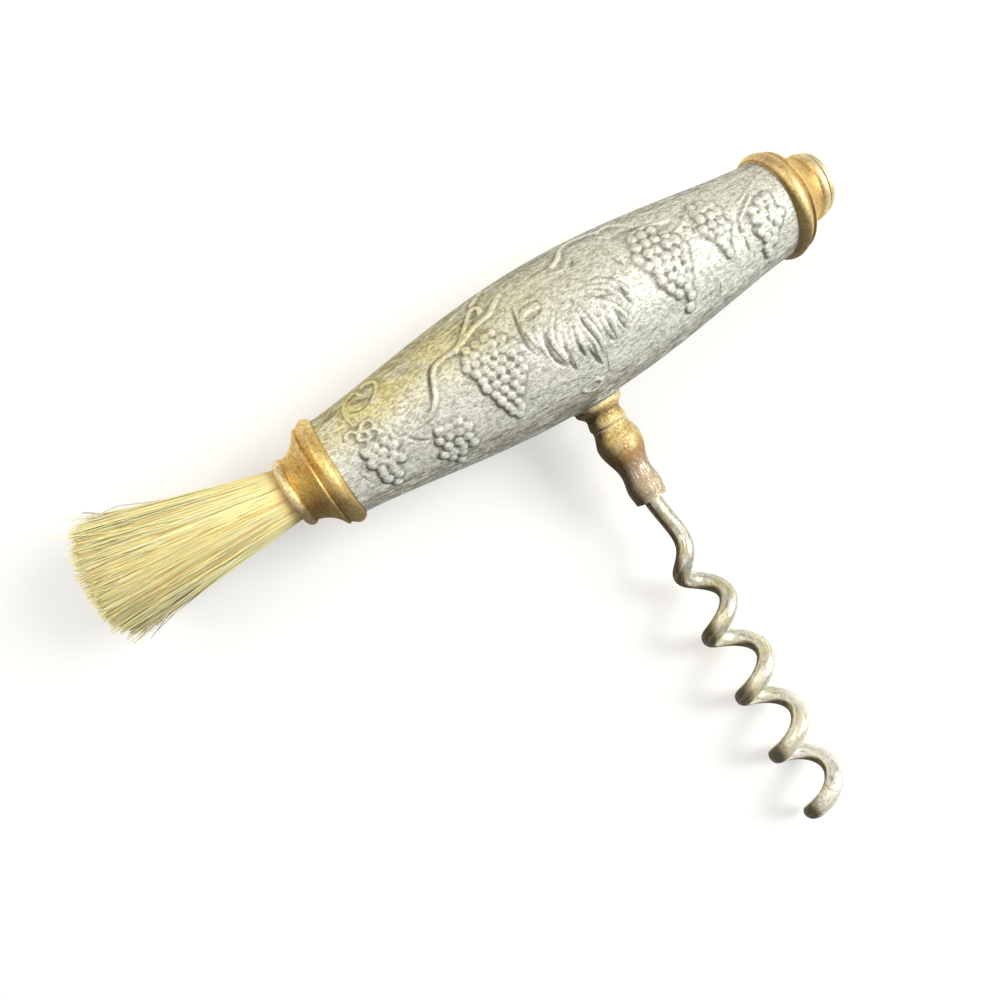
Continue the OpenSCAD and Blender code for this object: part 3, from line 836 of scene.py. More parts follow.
# worm: a wire that leaves the shank straight, leans out and winds into a right-handed coil
worm = {
    "Start": 22.64, "Shank End": 31.64, "End": 96.24, "Pitch": 12.25, "Coil Radius": 3.525,
    "Lead": 30.0, "Lead Power": 1.85, "Lead Soft": 2.5, "Lean": 3.75, "Wind": 13.2,
    "First Turn": math.radians(19), "Wire Radius": 1.525, "Point Length": 3.2, "Point Radius": 1.0,
    "Nose": 0.9, "Nose Roundness": 0.97, "Rings": 560, "Sides": 28,
}


def coilSpot(bench, inp, down):
    outside = bench.past(down, inp["Shank End"])
    leadRun = bench.times(bench.plus(outside, inp["Lead Soft"]), inp["Lead"])
    led = bench.over(bench.times(outside, outside), leadRun)
    shut = bench.sums("SUBTRACT", 1.0, led, clamp=True)
    opened = bench.minus(1.0, bench.sums("POWER", shut, inp["Lead Power"]))
    easing = bench.minus(inp["Wind"], inp["Lean"])
    begun = bench.sums("MINIMUM", easing, bench.past(outside, inp["Lean"]))
    wound = bench.over(bench.times(begun, begun), bench.times(easing, 2.0))
    wound = bench.plus(wound, bench.past(outside, inp["Wind"]))
    turn = bench.timesPlus(bench.over(wound, inp["Pitch"]), fullTurn, inp["First Turn"])
    across, up = bench.circle(turn, bench.times(opened, inp["Coil Radius"]))
    return bench.combined(across, bench.times(down, -1.0), up)


def wireGirth(bench, inp, down):
    left = bench.minus(inp["End"], down)
    taper = bench.ramp(left, 0.0, inp["Point Length"], inp["Point Radius"], inp["Wire Radius"])
    blunt = bench.minus(1.0, bench.sums("MINIMUM", 1.0, bench.over(left, inp["Nose"])))
    rounded = bench.times(blunt, bench.times(blunt, inp["Nose Roundness"]))
    return bench.times(taper, bench.sums("SQRT", bench.minus(1.0, rounded)))


def makeCoiledWire(values):
    bench, inp, out = pieceTree("coiledWire", values)
    share = bench.node("GeometryNodeSplineParameter").outputs["Factor"]
    down = bench.between(share, inp["Start"], inp["End"])
    line = bench.keep(bench.segments(inp["Rings"]), "along", down)
    line = bench.keep(line, "girth", wireGirth(bench, inp, down))
    line = bench.moved(line, coilSpot(bench, inp, down))
    ring = bench.keep(bench.ring(inp["Sides"]), "round", bench.here(), "FLOAT_VECTOR")
    tube = bench.tube(line, ring, bench.recall("girth"))
    place = bench.combined(0.0, 0.0, bench.recall("along"))
    place = bench.vectors("ADD", bench.recall("round", "FLOAT_VECTOR"), place)
    tube = bench.keep(tube, "wirePlace", place, "FLOAT_VECTOR")
    tube = bench.put("GeometryNodeSetShadeSmooth", {"Geometry": tube})
    return bench.deliver(tube, inp["Finish"], out["Geometry"])


wormPiece = growNodes(newPiece("wireWorm"), makeCoiledWire, dict(worm, Finish=wormSteel))
settle(wormPiece, "worm")

# brush: fine bristles that fan out of the ferrule and lean away from the worm, round a solid heart
brush = {
    "inputs": {
        "Count": 3100, "Root Radius": 4.05, "Tuft Radius": 9.0, "Length": 34.4, "Slant": 1.0, "Lean": 3.4,
        "Trim": 2.6, "Strand Radius": 0.095, "Clump": 0.45, "Wave": 0.7, "Curl": 3.0, "Stray": 4.0,
        "Cross": 1.2, "Backing": 1.2, "Heart": 0.85, "Hollowness": 0.28, "Seed": 11,
    },
    "rootDepth": 6.66, "strandPoints": 8, "strandSides": 3,
    "thickness": (1.15, 0.55),  # at the root, and how much of it is lost at the tip
    "loosePower": 9.0, "trimPower": 2.0, "strayTurn": 6.28,
    "darkEdge": (0.86, 1.0), "darkEdgeGain": 0.09, "looseEdge": (0.8, 0.95), "looseEdgeGain": 0.4,
    "clumps": (3.6, 2.0), "clumpWays": (0.0, 3.0, 3.0),
    "crimps": (1.0, 1.0), "crimpWays": (0.0, 2.0, 2.0), "crimpSpread": 9.0, "crimpLength": 2.6,
    "backingSides": 48, "heartSides": 90, "heartRings": 24, "heartCapRings": 3, "heartTone": 0.8,
    "heartTip": 0.93, "heartRoot": 0.9,
    "furrows": (1.5, 3.0), "furrowLength": 0.06, "furrowDepth": (0.5, 0.75),
}


def strandRoots(bench, inp, b):
    def chance(low, high, offset):
        feeds = {2: low, 3: high, "Seed": bench.plus(inp["Seed"], float(offset))}
        return bench.node("FunctionNodeRandomValue", feeds, data_type="FLOAT").outputs[1]

    reach = bench.sums("POWER", chance(0.0, 1.0, 1), inp["Hollowness"])
    across, up = bench.circle(chance(0.0, fullTurn, 2), reach)
    spot = bench.combined(0.0, across, up)
    points = bench.put("GeometryNodePoints", {"Count": inp["Count"], "Position": spot})
    points = bench.keep(points, "spot", bench.here(), "FLOAT_VECTOR")
    loose = bench.sums("POWER", chance(0.0, 1.0, 5), b["loosePower"])
    darker = bench.times(bench.ramp(across, *b["darkEdge"]), b["darkEdgeGain"])
    looseAtEdge = bench.times(loose, bench.ramp(across, *b["looseEdge"]))
    darker = bench.timesPlus(looseAtEdge, b["looseEdgeGain"], darker)
    tone = bench.plus(chance(0.0, 1.0, 3), darker)  # dark hairs lie along one edge
    points = bench.keep(points, "tone", tone)
    points = bench.keep(points, "loose", loose)
    points = bench.keep(points, "crossing", bench.times(chance(-1.0, 1.0, 8), inp["Cross"]))
    trim = bench.times(bench.sums("POWER", chance(0.0, 1.0, 4), b["trimPower"]), inp["Trim"])
    points = bench.keep(points, "trim", bench.timesPlus(across, inp["Slant"], trim))
    wild = bench.times(loose, inp["Stray"])
    for name, way, offset in (("wild", "SINE", 6), ("wilder", "COSINE", 7)):
        swing = bench.sums(way, chance(0.0, b["strayTurn"], offset))
        points = bench.keep(points, name, bench.times(wild, swing))
    return points


def makeStrands(bench, inp, b):
    feeds = {"Points": strandRoots(bench, inp, b), "Instance": bench.segments(b["strandPoints"])}
    strands = bench.put("GeometryNodeInstanceOnPoints", feeds)
    strands = bench.put("GeometryNodeRealizeInstances", {"Geometry": strands})
    strands = bench.keep(strands, "along", bench.node("GeometryNodeSplineParameter").outputs["Factor"])
    along = bench.recall("along")
    bent = bench.times(along, along)
    start = bench.recall("spot", "FLOAT_VECTOR")
    strands = bench.keep(strands, "outward", start, "FLOAT_VECTOR")
    fan = bench.stretched(start, bench.between(along, inp["Root Radius"], inp["Tuft Radius"]))
    clumps = bench.vectors("MULTIPLY", bench.drift(start, *b["clumps"]), b["clumpWays"])
    clumps = bench.stretched(clumps, bench.times(bent, inp["Clump"]))
    crimpAlong = bench.combined(bench.times(along, b["crimpLength"]), 0.0, 0.0)
    crimpAt = bench.vectors("ADD", bench.stretched(start, b["crimpSpread"]), crimpAlong)
    crimps = bench.vectors("MULTIPLY", bench.drift(crimpAt, *b["crimps"]), b["crimpWays"])
    curl = bench.times(bench.timesPlus(bench.recall("loose"), inp["Curl"], inp["Wave"]), along)
    sway = bench.vectors("ADD", clumps, bench.stretched(crimps, curl))
    forward = bench.times(along, bench.minus(bench.recall("trim"), inp["Length"]))
    aside = bench.timesPlus(bent, bench.recall("wild"), bench.times(along, inp["Lean"]))
    aside = bench.timesPlus(along, bench.recall("crossing"), aside)
    push = bench.combined(forward, aside, bench.times(bent, bench.recall("wilder")))
    strands = bench.moved(strands, bench.vectors("ADD", bench.vectors("ADD", fan, sway), push))
    thick, thinner = b["thickness"]
    girth = bench.times(inp["Strand Radius"], bench.minus(thick, bench.times(bent, thinner)))
    return bench.tube(strands, bench.ring(b["strandSides"]), girth)


def makeHeart(bench, inp, b):
    tip = bench.between(inp["Heart"], inp["Root Radius"], inp["Tuft Radius"])
    heart = bench.put("GeometryNodeMeshCone", {
        "Vertices": b["heartSides"], "Side Segments": b["heartRings"], "Fill Segments": b["heartCapRings"],
        "Radius Top": bench.times(tip, b["heartTip"]),
        "Radius Bottom": bench.times(inp["Root Radius"], b["heartRoot"]),
        "Depth": bench.times(inp["Length"], inp["Heart"]),
    })
    across, up, down = bench.parts(bench.here())
    share = bench.over(down, inp["Length"])
    furrows = bench.clouds(bench.combined(across, up, bench.times(down, b["furrowLength"])), *b["furrows"])
    swollen = bench.timesPlus(furrows, *b["furrowDepth"])
    heart = bench.keep(heart, "along", share)
    heart = bench.keep(heart, "tone", b["heartTone"])
    heart = bench.keep(heart, "outward", bench.combined(0.0, across, up), "FLOAT_VECTOR")
    aside = bench.timesPlus(across, swollen, bench.times(share, inp["Lean"]))
    return bench.moved(heart, bench.combined(bench.times(down, -1.0), aside, bench.times(up, swollen)))


def makeBacking(bench, inp, b):
    feeds = {"Vertices": b["backingSides"], "Radius": inp["Root Radius"], "Depth": inp["Backing"]}
    plug = bench.put("GeometryNodeMeshCylinder", feeds)
    shift = bench.combined(bench.times(inp["Backing"], 0.5), 0.0, 0.0)
    feeds = {"Geometry": plug, "Rotation": (0.0, math.pi / 2, 0.0), "Translation": shift}
    return bench.put("GeometryNodeTransform", feeds)


def makeBristles(values):
    bench, inp, out = pieceTree("fannedBristles", values)
    whole = bench.node("GeometryNodeJoinGeometry")
    for makePart in (makeStrands, makeHeart, makeBacking):
        bench.feed(whole.inputs[0], makePart(bench, inp, brush))
    return bench.deliver(whole.outputs[0], inp["Finish"], out["Geometry"])


brushPiece = growNodes(newPiece("strawBrush"), makeBristles, dict(brush["inputs"], Finish=straw))
brushPiece.data.transform(Matrix.Translation((-halfSleeve - brush["rootDepth"], 0, 0)))
settle(brushPiece, "brush_bristles")

# cast sleeve: a barrel skin with a seat for the collar
sleeve = {
    "bellyR": 12.85, "endR": 8.55, "power": 1.3, "boreR": 5.55,
    "seat": 12.95, "seatR": 4.45, "seatMargin": 0.6, "filletSpread": 1.9, "filletDrop": 2.05,
    "alongSteps": 322, "roundSteps": 296, "plainEnd": 1.2,
}


def barrelR(x):
    fall = np.maximum(0, np.cos(np.pi / 2 * np.abs(x) / halfSleeve))
    return sleeve["endR"] + (sleeve["bellyR"] - sleeve["endR"]) * fall ** sleeve["power"]


def seatHeight(s, reach):
    out = np.clip((reach - s["seatR"]) / s["filletSpread"], 0, 1)
    curve = s["seat"] - s["filletDrop"] * np.sqrt(np.maximum(0, 1 - (1 - out) ** 2))
    return np.where(reach < s["seatR"] + s["filletSpread"], curve, 0)


def sleeveSkin(s):
    x = np.linspace(-halfSleeve, halfSleeve, s["alongSteps"] + 1)
    turn = np.linspace(0, fullTurn, s["roundSteps"], endpoint=False)
    across = -np.sin(turn)
    up = np.cos(turn)
    r = barrelR(x)[:, None]
    grid = np.stack(np.broadcast_arrays(x[:, None], r * across, r * up), -1)
    below = grid[..., 1] < 0
    lift = np.maximum(-grid[..., 1], seatHeight(s, np.hypot(grid[..., 0], grid[..., 2])))
    grid[..., 1] = np.where(below, -lift, grid[..., 1])
    bore = np.stack([np.full_like(turn, halfSleeve), s["boreR"] * across, s["boreR"] * up], -1)
    rows = np.concatenate([grid, bore[None], (bore * (-1, 1, 1))[None]])
    free = np.clip((halfSleeve - np.abs(rows[..., 0])) / s["plainEnd"], 0, 1)  # where relief may stand
    atSeat = np.hypot(rows[..., 0], rows[..., 2]) < s["seatR"] + s["seatMargin"]
    free *= np.where((rows[..., 1] < 0) & atSeat, 0, 1)
    free[-2:] = 0
    count, sides = rows.shape[:2]
    i, k = np.meshgrid(np.arange(count), np.arange(sides), indexing="ij")
    after = (i + 1) % count
    beside = (k + 1) % sides
    quads = np.stack([i * sides + k, after * sides + k, after * sides + beside, i * sides + beside], -1)
    mesh = bpy.data.meshes.new("vineSleeve")
    mesh.from_pydata(rows.reshape(-1, 3), [], quads.reshape(-1, 4).tolist())
    setFloats(mesh, "free", free.ravel())
    setFloats(mesh, "flank", np.tile(np.abs(across), count))
    pointOutwards(mesh)
    return newPiece("vineSleeve", mesh)


# grape vine in relief: places are (millimetres along the handle, degrees from the top towards the worm)
vine = {
    "inputs": {"Pitting": 0.05, "Hollow Depth": 0.16, "Softening": 1, "Reach": 16},
    "marks": {  # the edge that each kind of mark leaves for the finish, and how full its section is
        "Grapes": ("grapeEdge", 0.6), "Stems": ("stemEdge", 0.7),
        "Leaf": ("leafEdge", 0.8), "Cuts": ("cutEdge", 0.9),
    },
    "farthest": 2.0, "pits": (1.1, 3.0), "wornGain": -0.6, "seed": 5,
    "grapeFill": 0.55, "grapeRise": 0.46, "grapeSizes": (0.92, 1.1), "grapeJitter": 0.14,
    "bunches": [  # grape pitch, then the first grape and the count of each row
        (1.75, [((-37.0, 4), 3), ((-36.4, 11), 3), ((-37.0, 18), 3), ((-36.2, 25), 3), ((-36.3, 32), 2),
                ((-36.0, 39), 2), ((-34.9, 47), 1)]),
        (1.65, [((-25.8, 20.5), 3), ((-26.4, 28), 4), ((-25.5, 35.5), 3), ((-26.8, 43), 4),
                ((-25.7, 49), 2), ((-24.5, 56), 1)]),
        (1.55, [((-15.9, -23), 4), ((-16.8, -16.5), 5), ((-17.3, -10), 6), ((-16.7, -3.5), 6),
                ((-16.3, 3), 5), ((-16.2, 9.5), 5), ((-15.5, 16), 4), ((-15.2, 22.5), 3),
                ((-14.6, 28.5), 2), ((-14.4, 33.5), 2), ((-13.6, 39), 1)]),
        (1.75, [((15.2, -31), 3), ((14.6, -23), 4), ((13.9, -15), 5), ((14.5, -7), 5), ((15.6, 0.5), 4),
                ((15.4, 8), 4), ((16.4, 15.3), 3), ((17.4, 22.3), 2), ((19.1, 29.5), 1),
                ((18.5, 38.5), 1)]),
        (1.65, [((26.5, -35), 2), ((26.2, -28), 3), ((26.5, -20.5), 3), ((26.0, -12), 3), ((26.4, -4), 3),
                ((27.3, 3.5), 2), ((28.0, 10.5), 1), ((28.0, 17.5), 1)]),
        (1.75, [((36.6, -11), 2), ((34.8, -4.5), 3), ((34.7, 4), 3), ((35.8, 11), 3), ((34.7, 17), 3),
                ((35.5, 25), 2), ((36.6, 32.5), 1), ((35.2, 36), 1), ((35.4, 43), 1)]),
    ],
    "stemGain": (0.95, 1.4), "stemFall": 0.25, "stemSteps": 14,
    "stems": [  # points, half width at the start and at the end, height
        ([(-27.0, 7.2), (-25.6, 5), (-24.6, 1), (-23.6, -6), (-22.8, -15), (-22.0, -23), (-20.6, -27.5),
          (-17.8, -28), (-16.0, -31), (-14.2, -40), (-12.6, -48.5), (-11.5, -52.5), (-10.7, -49),
          (-10.9, -44)], 0.38, 0.5, 0.42),
        ([(-25.4, 4.4), (-26.9, 7.2), (-28.8, 8.4)], 0.42, 0.15, 0.22),
        ([(-17.4, -26.5), (-15.6, -29.5), (-13.6, -34.5), (-11.8, -36), (-9.8, -38), (-8.3, -43.5),
          (-6.8, -48.5)], 0.42, 0.58, 0.44),
        ([(-11.2, -57), (-10.1, -61.5), (-8.9, -66), (-8.2, -70)], 0.5, 0.35, 0.4),
        ([(-36.4, -25), (-36.7, -36), (-36.6, -46), (-35.8, -55), (-34.7, -59),
          (-33.9, -60.5)], 0.28, 0.42, 0.34),
        ([(-32.3, -60), (-31.0, -58.5), (-30.1, -52), (-30.5, -44), (-31.5, -37),
          (-32.3, -33)], 0.45, 0.28, 0.34),
        ([(-33.4, -58), (-33.3, -52), (-32.7, -48)], 0.3, 0.22, 0.3),
        ([(-38.6, -45), (-37.8, -39), (-37.2, -34)], 0.22, 0.32, 0.25),
        ([(-36.0, -16), (-35.3, -20.5), (-34.4, -21.5), (-33.7, -18.5), (-33.6, -14.5), (-34.2, -12),
          (-35.1, -13), (-36.0, -16)], 0.3, 0.3, 0.38),
        ([(-38.6, -16.5), (-38.0, -20.8), (-37.2, -20.8), (-36.7, -17.5), (-36.2, -15)], 0.32, 0.3, 0.38),
        ([(-36.3, -14), (-37.0, -9.5), (-36.2, -7), (-35.7, -4), (-35.9, -1),
          (-36.7, 1.5)], 0.3, 0.28, 0.36),
        ([(-34.0, -11.5), (-33.4, -7), (-33.8, -2.5), (-34.5, 0)], 0.3, 0.26, 0.34),
        ([(-35.0, -10), (-35.1, -6.5)], 0.42, 0.36, 0.34),
        ([(-6.0, -22.5), (-4.8, -23.5), (-3.6, -23)], 0.75, 0.8, 0.28),
        ([(-6.3, -31), (-6.6, -25), (-6.9, -18), (-7.2, -11)], 0.34, 0.3, 0.3),
        ([(2.4, -45), (3.7, -48), (4.7, -53.5), (5.4, -58), (6.4, -61), (7.8, -62.5), (9.3, -61.5),
          (11.0, -60), (11.9, -58)], 0.52, 0.36, 0.44),
        ([(1.2, -39), (2.7, -36.8), (3.6, -36.8), (4.4, -40), (5.4, -44.5)], 0.34, 0.28, 0.36),
        ([(9.3, -33), (9.9, -28)], 0.35, 0.25, 0.3),
        ([(10.9, -37.5), (11.3, -32), (11.8, -25.5), (11.9, -23)], 0.32, 0.26, 0.34),
        ([(11.0, -50.5), (11.8, -48), (12.6, -43.5)], 0.3, 0.4, 0.38),
        ([(11.9, -55.5), (12.9, -58), (14.2, -57.2), (15.1, -54.5), (16.0, -50),
          (16.8, -43)], 0.36, 0.42, 0.4),
        ([(14.4, -31), (15.3, -36), (18.0, -37.5), (21.0, -35), (22.6, -35), (24.0, -41)], 0.4, 0.25, 0.34),
        ([(21.6, -21), (23.4, -24), (25.0, -30), (26.6, -38), (29.5, -41)], 0.3, 0.3, 0.3),
        ([(31.9, 6), (32.3, -3), (33.4, -8), (35.2, -15), (36.4, -22)], 0.4, 0.3, 0.34),
        ([(31.9, 12), (32.0, 20), (32.1, 27)], 0.28, 0.2, 0.22),
        ([(33.4, -18.5), (35.0, -22), (37.6, -30), (38.8, -34)], 0.28, 0.22, 0.25),
        ([(-11.0, 31.5), (-7.4, 32), (-4.0, 34.5), (-1.6, 39), (1.4, 49)], 0.25, 0.22, 0.18),
        ([(2.9, 29), (2.6, 38), (2.4, 46)], 0.22, 0.22, 0.2),
        ([(-3.0, 48.3), (-2.3, 52), (-1.2, 54.3), (0.3, 51.5), (0.4, 48), (-0.8, 45.3), (-2.2, 46),
          (-3.0, 48.3)], 0.3, 0.3, 0.34),
        ([(25.2, 36), (25.0, 44)], 0.32, 0.3, 0.25),
    ],
    "strokesPerLobe": 2, "strokeSteps": 20, "strokeWidth": 0.52, "strokeRise": 0.55, "strokeJitter": 0.3,
    "strokeEnds": (-6, 2), "strokeWidths": (0.75, 1.25), "strokeRises": (0.55, 1.2),
    "strokeBulge": (0.1, 0.82), "strokeClimb": (0.4, 0.6),
    "lobes": [  # points from the stalk to the tip of each lobe
        [(-6.0, -26), (-6.9, -14), (-6.9, -3), (-6.6, 7)],
        [(-1.5, -14), (-3.6, -3), (-4.5, 8), (-3.6, 24)],
        [(-0.5, -10), (-2.1, 5), (-2.4, 17), (-2.3, 29.5)],
        [(0.4, -8), (-0.3, 4), (-0.3, 14), (-0.1, 25)],
        [(1.0, -8), (1.0, 6), (1.2, 20), (1.7, 35.5)],
        [(2.2, -10), (2.9, 4), (3.3, 15), (3.0, 28)],
        [(3.0, -10), (4.6, 3), (5.2, 13), (5.2, 24)],
        [(3.8, -12), (6.0, 0), (7.3, 12), (7.9, 23)],
        [(4.4, -16), (7.0, -9), (8.5, 2), (8.9, 13)],
        [(5.0, -22), (8.0, -20), (10.2, -12), (11.2, -2)],
    ],
    "cutGain": 0.85, "cutBulge": (0.12, 0.76),
    "cuts": [  # points of an engraved line, half width, depth
        ([(-6.7, -34), (-7.2, -24), (-7.8, -12), (-7.8, -1), (-7.3, 8)], 0.32, 0.3),
        ([(-39.5, 17.5), (-39.0, 26.5), (-38.5, 35.5)], 0.26, 0.18),
        ([(-38.9, 10), (-38.5, 18), (-38.1, 24), (-37.6, 30)], 0.24, 0.16),
        ([(-4.6, -5), (-5.3, 7), (-5.2, 15), (-4.5, 21), (-3.8, 24.5)], 0.38, 0.4),
        ([(-3.0, 16.5), (-3.2, 24), (-2.7, 31)], 0.36, 0.38),
        ([(-1.1, 15.5), (-0.9, 20.5), (-0.5, 25.5)], 0.33, 0.32),
        ([(0.3, 19), (0.6, 28), (1.2, 37)], 0.38, 0.38),
        ([(0.9, 2), (1.9, 20), (2.3, 30)], 0.22, 0.18),
        ([(4.0, 18), (4.4, 26)], 0.3, 0.3),
        ([(6.3, 12.5), (6.7, 18), (7.2, 24.5)], 0.34, 0.34),
        ([(8.6, -16), (9.0, -9.7), (9.2, -2.5), (9.1, 3.5), (9.6, 10.6)], 0.36, 0.36),
        ([(9.1, -10.6), (9.7, -6.8), (9.8, -1.7)], 0.24, 0.22),
        ([(8.8, 7.3), (8.3, 13.4), (7.8, 19.6)], 0.24, 0.22),
        ([(4.2, -9.9), (5.1, -6.5), (6.2, -5), (7.8, -1.8)], 0.3, 0.28),
        ([(-8.0, -30), (-7.6, -33.5), (-7.3, -36.5)], 0.28, 0.26),
        ([(3.3, -27.6), (4.5, -24), (5.4, -22.6)], 0.22, 0.2),
        ([(2.3, -25.5), (2.5, -20.5)], 0.22, 0.18),
        ([(5.1, -27), (6.2, -23.3)], 0.22, 0.2),
        ([(6.1, -20.5), (7.5, -17.6)], 0.22, 0.2),
        ([(1.2, -17), (1.6, -10.4)], 0.22, 0.2),
        ([(2.2, -19.7), (3.6, -18.3), (4.5, -15.4)], 0.22, 0.2),
        ([(-0.6, -18.3), (0.6, -13.3)], 0.22, 0.2),
        ([(5.3, -12.5), (6.7, -9)], 0.24, 0.2),
        ([(7.8, -8.3), (8.4, -1)], 0.22, 0.2),
        ([(10.3, -15.4), (11.0, -11.8)], 0.22, 0.2),
        ([(-2.2, -6.8), (-1.6, -10.4)], 0.22, 0.18),
        ([(-5.6, -12.5), (-5.3, -1)], 0.24, 0.2),
        ([(-4.8, -13.3), (-4.5, -8.3)], 0.22, 0.18),
        ([(-31.6, -3), (-31.5, 3.5)], 0.26, 0.24),
        ([(1.8, -2.6), (1.4, 2), (1.5, 12.6)], 0.25, 0.25),
        ([(4.1, 0.6), (3.5, 7)], 0.25, 0.24),
        ([(1.9, -16.6), (1.4, -10.5)], 0.25, 0.24),
        ([(10.4, -27), (10.9, -23), (11.5, -18), (11.8, -14.3)], 0.28, 0.26),
        ([(10.3, 9), (11.2, 9.5)], 0.22, 0.2),
        ([(-6.4, -18), (-5.0, -16.5), (-3.4, -18), (-2.7, -21)], 0.28, 0.24),
        ([(4.5, -35), (5.2, -39), (5.8, -44)], 0.34, 0.26),
        ([(-24.6, -3), (-23.5, -15), (-22.6, -25), (-21.4, -30), (-18.0, -31)], 0.3, 0.26),
        ([(-15.2, -38.5), (-13.8, -46), (-12.6, -52)], 0.3, 0.26),
        ([(-35.2, -50), (-33.8, -46), (-32.4, -42)], 1.0, 0.24),
        ([(-36.0, -44), (-35.4, -38), (-34.0, -35.2), (-32.6, -37.5), (-31.4, -45)], 0.3, 0.28),
        ([(-30.4, 6), (-29.7, 15), (-28.3, 20.5), (-27.2, 23)], 0.3, 0.28),
        ([(-27.7, 35), (-27.9, 43), (-26.9, 48), (-26.0, 53), (-25.2, 60), (-25.0, 67)], 0.25, 0.2),
        ([(-37.2, 36), (-36.8, 43), (-35.6, 51)], 0.3, 0.28),
        ([(17.3, -28), (19.2, -24), (21.2, -21.5)], 0.3, 0.22),
        ([(23.4, -24), (23.6, -19)], 0.3, 0.25),
        ([(24.8, -21), (24.4, -15), (24.3, -13)], 0.3, 0.28),
        ([(32.6, -4), (31.5, 3), (31.3, 9)], 0.28, 0.24),
        ([(31.5, 13), (31.6, 27)], 0.26, 0.22),
        ([(33.6, 8), (33.5, 14), (34.0, 21)], 0.3, 0.28),
    ],
}


def onSleeve(x, angle):
    r = barrelR(x)
    t = math.radians(angle)
    return (x, -r * math.sin(t), r * math.cos(t))


def eased(p, q, r, s, t):  # a smooth way from q to r, with p before and s after them
    bend = 2 * p - 5 * q + 4 * r - s
    twist = 3 * q - p - 3 * r + s
    return 0.5 * (2 * q + (r - p) * t + bend * t * t + twist * t ** 3)


def smoothLine(points, steps):
    ends = [points[0]] + list(points) + [points[-1]]
    line = []
    for a, b, c, d in zip(ends, ends[1:], ends[2:], ends[3:]):
        for i in range(steps):
            line.append(tuple(eased(*four, i / steps) for four in zip(a, b, c, d)))
    return line + [points[-1]]


def alongLine(points, steps):
    line = smoothLine(points, steps)
    for i, (x, angle) in enumerate(line):
        yield x, angle, i / (len(line) - 1)


def bulge(share, limits):
    return math.sin(math.pi * (limits[0] + limits[1] * share))


def grapeSpots(v):
    rng = np.random.default_rng(v["seed"])
    for pitch, rows in v["bunches"]:
        for (x, angle), count in rows:
            for i in range(count):
                dx, da = rng.uniform(-1, 1, 2) * v["grapeJitter"]
                along = x + i * pitch + dx
                turn = angle + math.degrees(da / barrelR(along))
                size = rng.uniform(*v["grapeSizes"])
                yield along, turn, pitch * v["grapeFill"] * size, v["grapeRise"] * size


def stemSpots(v):
    wider, higher = v["stemGain"]
    for points, first, last, rise in v["stems"]:
        for x, angle, share in alongLine(points, v["stemSteps"]):
            girth = first + (last - first) * share
            yield x, angle, girth * wider, rise * higher * (1 - v["stemFall"] * share)


def lobeSpots(v):
    rng = np.random.default_rng(v["seed"])
    lobes = np.array(v["lobes"], float)
    low, gain = v["strokeClimb"]
    for one, two in zip(lobes, lobes[1:]):
        for k in range(v["strokesPerLobe"]):
            points = one + (two - one) * k / v["strokesPerLobe"]
            points[1:, 0] += rng.uniform(-1, 1, len(points) - 1) * v["strokeJitter"]
            points[-1, 1] += rng.uniform(*v["strokeEnds"])
            width = v["strokeWidth"] * rng.uniform(*v["strokeWidths"])
            rise = v["strokeRise"] * rng.uniform(*v["strokeRises"])
            for x, angle, share in alongLine([tuple(p) for p in points], v["strokeSteps"]):
                ends = bulge(share, v["strokeBulge"])
                yield x, angle, width * ends, rise * ends * (low + gain * share)


def cutSpots(v):
    for points, width, depth in v["cuts"]:
        for x, angle, share in alongLine(points, v["strokeSteps"]):
            ends = bulge(share, v["cutBulge"])
            yield x, angle, width * v["cutGain"] * ends, depth * v["cutGain"] * ends


def guide(name, spots):
    both = []
    for x, a, g, h in spots:
        both += [(x, a, g, h), (-x, 180 - a, g, h)]  # front and back of the handle
    mesh = bpy.data.meshes.new(name)
    mesh.from_pydata([onSleeve(x, a) for x, a, g, h in both], [], [])
    setFloats(mesh, "girth", [g for x, a, g, h in both])
    setFloats(mesh, "rise", [h for x, a, g, h in both])
    return newPiece(name, mesh)


def makeRaised():
    inputs = {"Guide": "Object", "Fullness": "Float"}
    outputs = {"Height": "Float", "Away": "Float"}
    bench, inp, out = newTree("raisedByGuide", "GeometryNodeTree", inputs, outputs)
    here = bench.here()
    marks = bench.node("GeometryNodeObjectInfo", {"Object": inp["Guide"]}).outputs["Geometry"]
    nearest = bench.put("GeometryNodeSampleNearest", {"Geometry": marks, "Sample Position": here})

    def sample(value, kind="FLOAT"):
        feeds = {"Geometry": marks, "Value": value, "Index": nearest}
        return bench.put("GeometryNodeSampleIndex", feeds, data_type=kind)

    away = bench.distance(here, sample(bench.here(), "FLOAT_VECTOR"))
    away = bench.over(away, sample(bench.recall("girth")))  # 1 at the foot of the mark
    dome = bench.past(1.0, bench.times(away, away))
    height = bench.times(sample(bench.recall("rise")), bench.sums("POWER", dome, inp["Fullness"]))
    bench.feed(out["Height"], height)
    bench.feed(out["Away"], bench.sums("MINIMUM", away, vine["farthest"]))
    return bench.tree


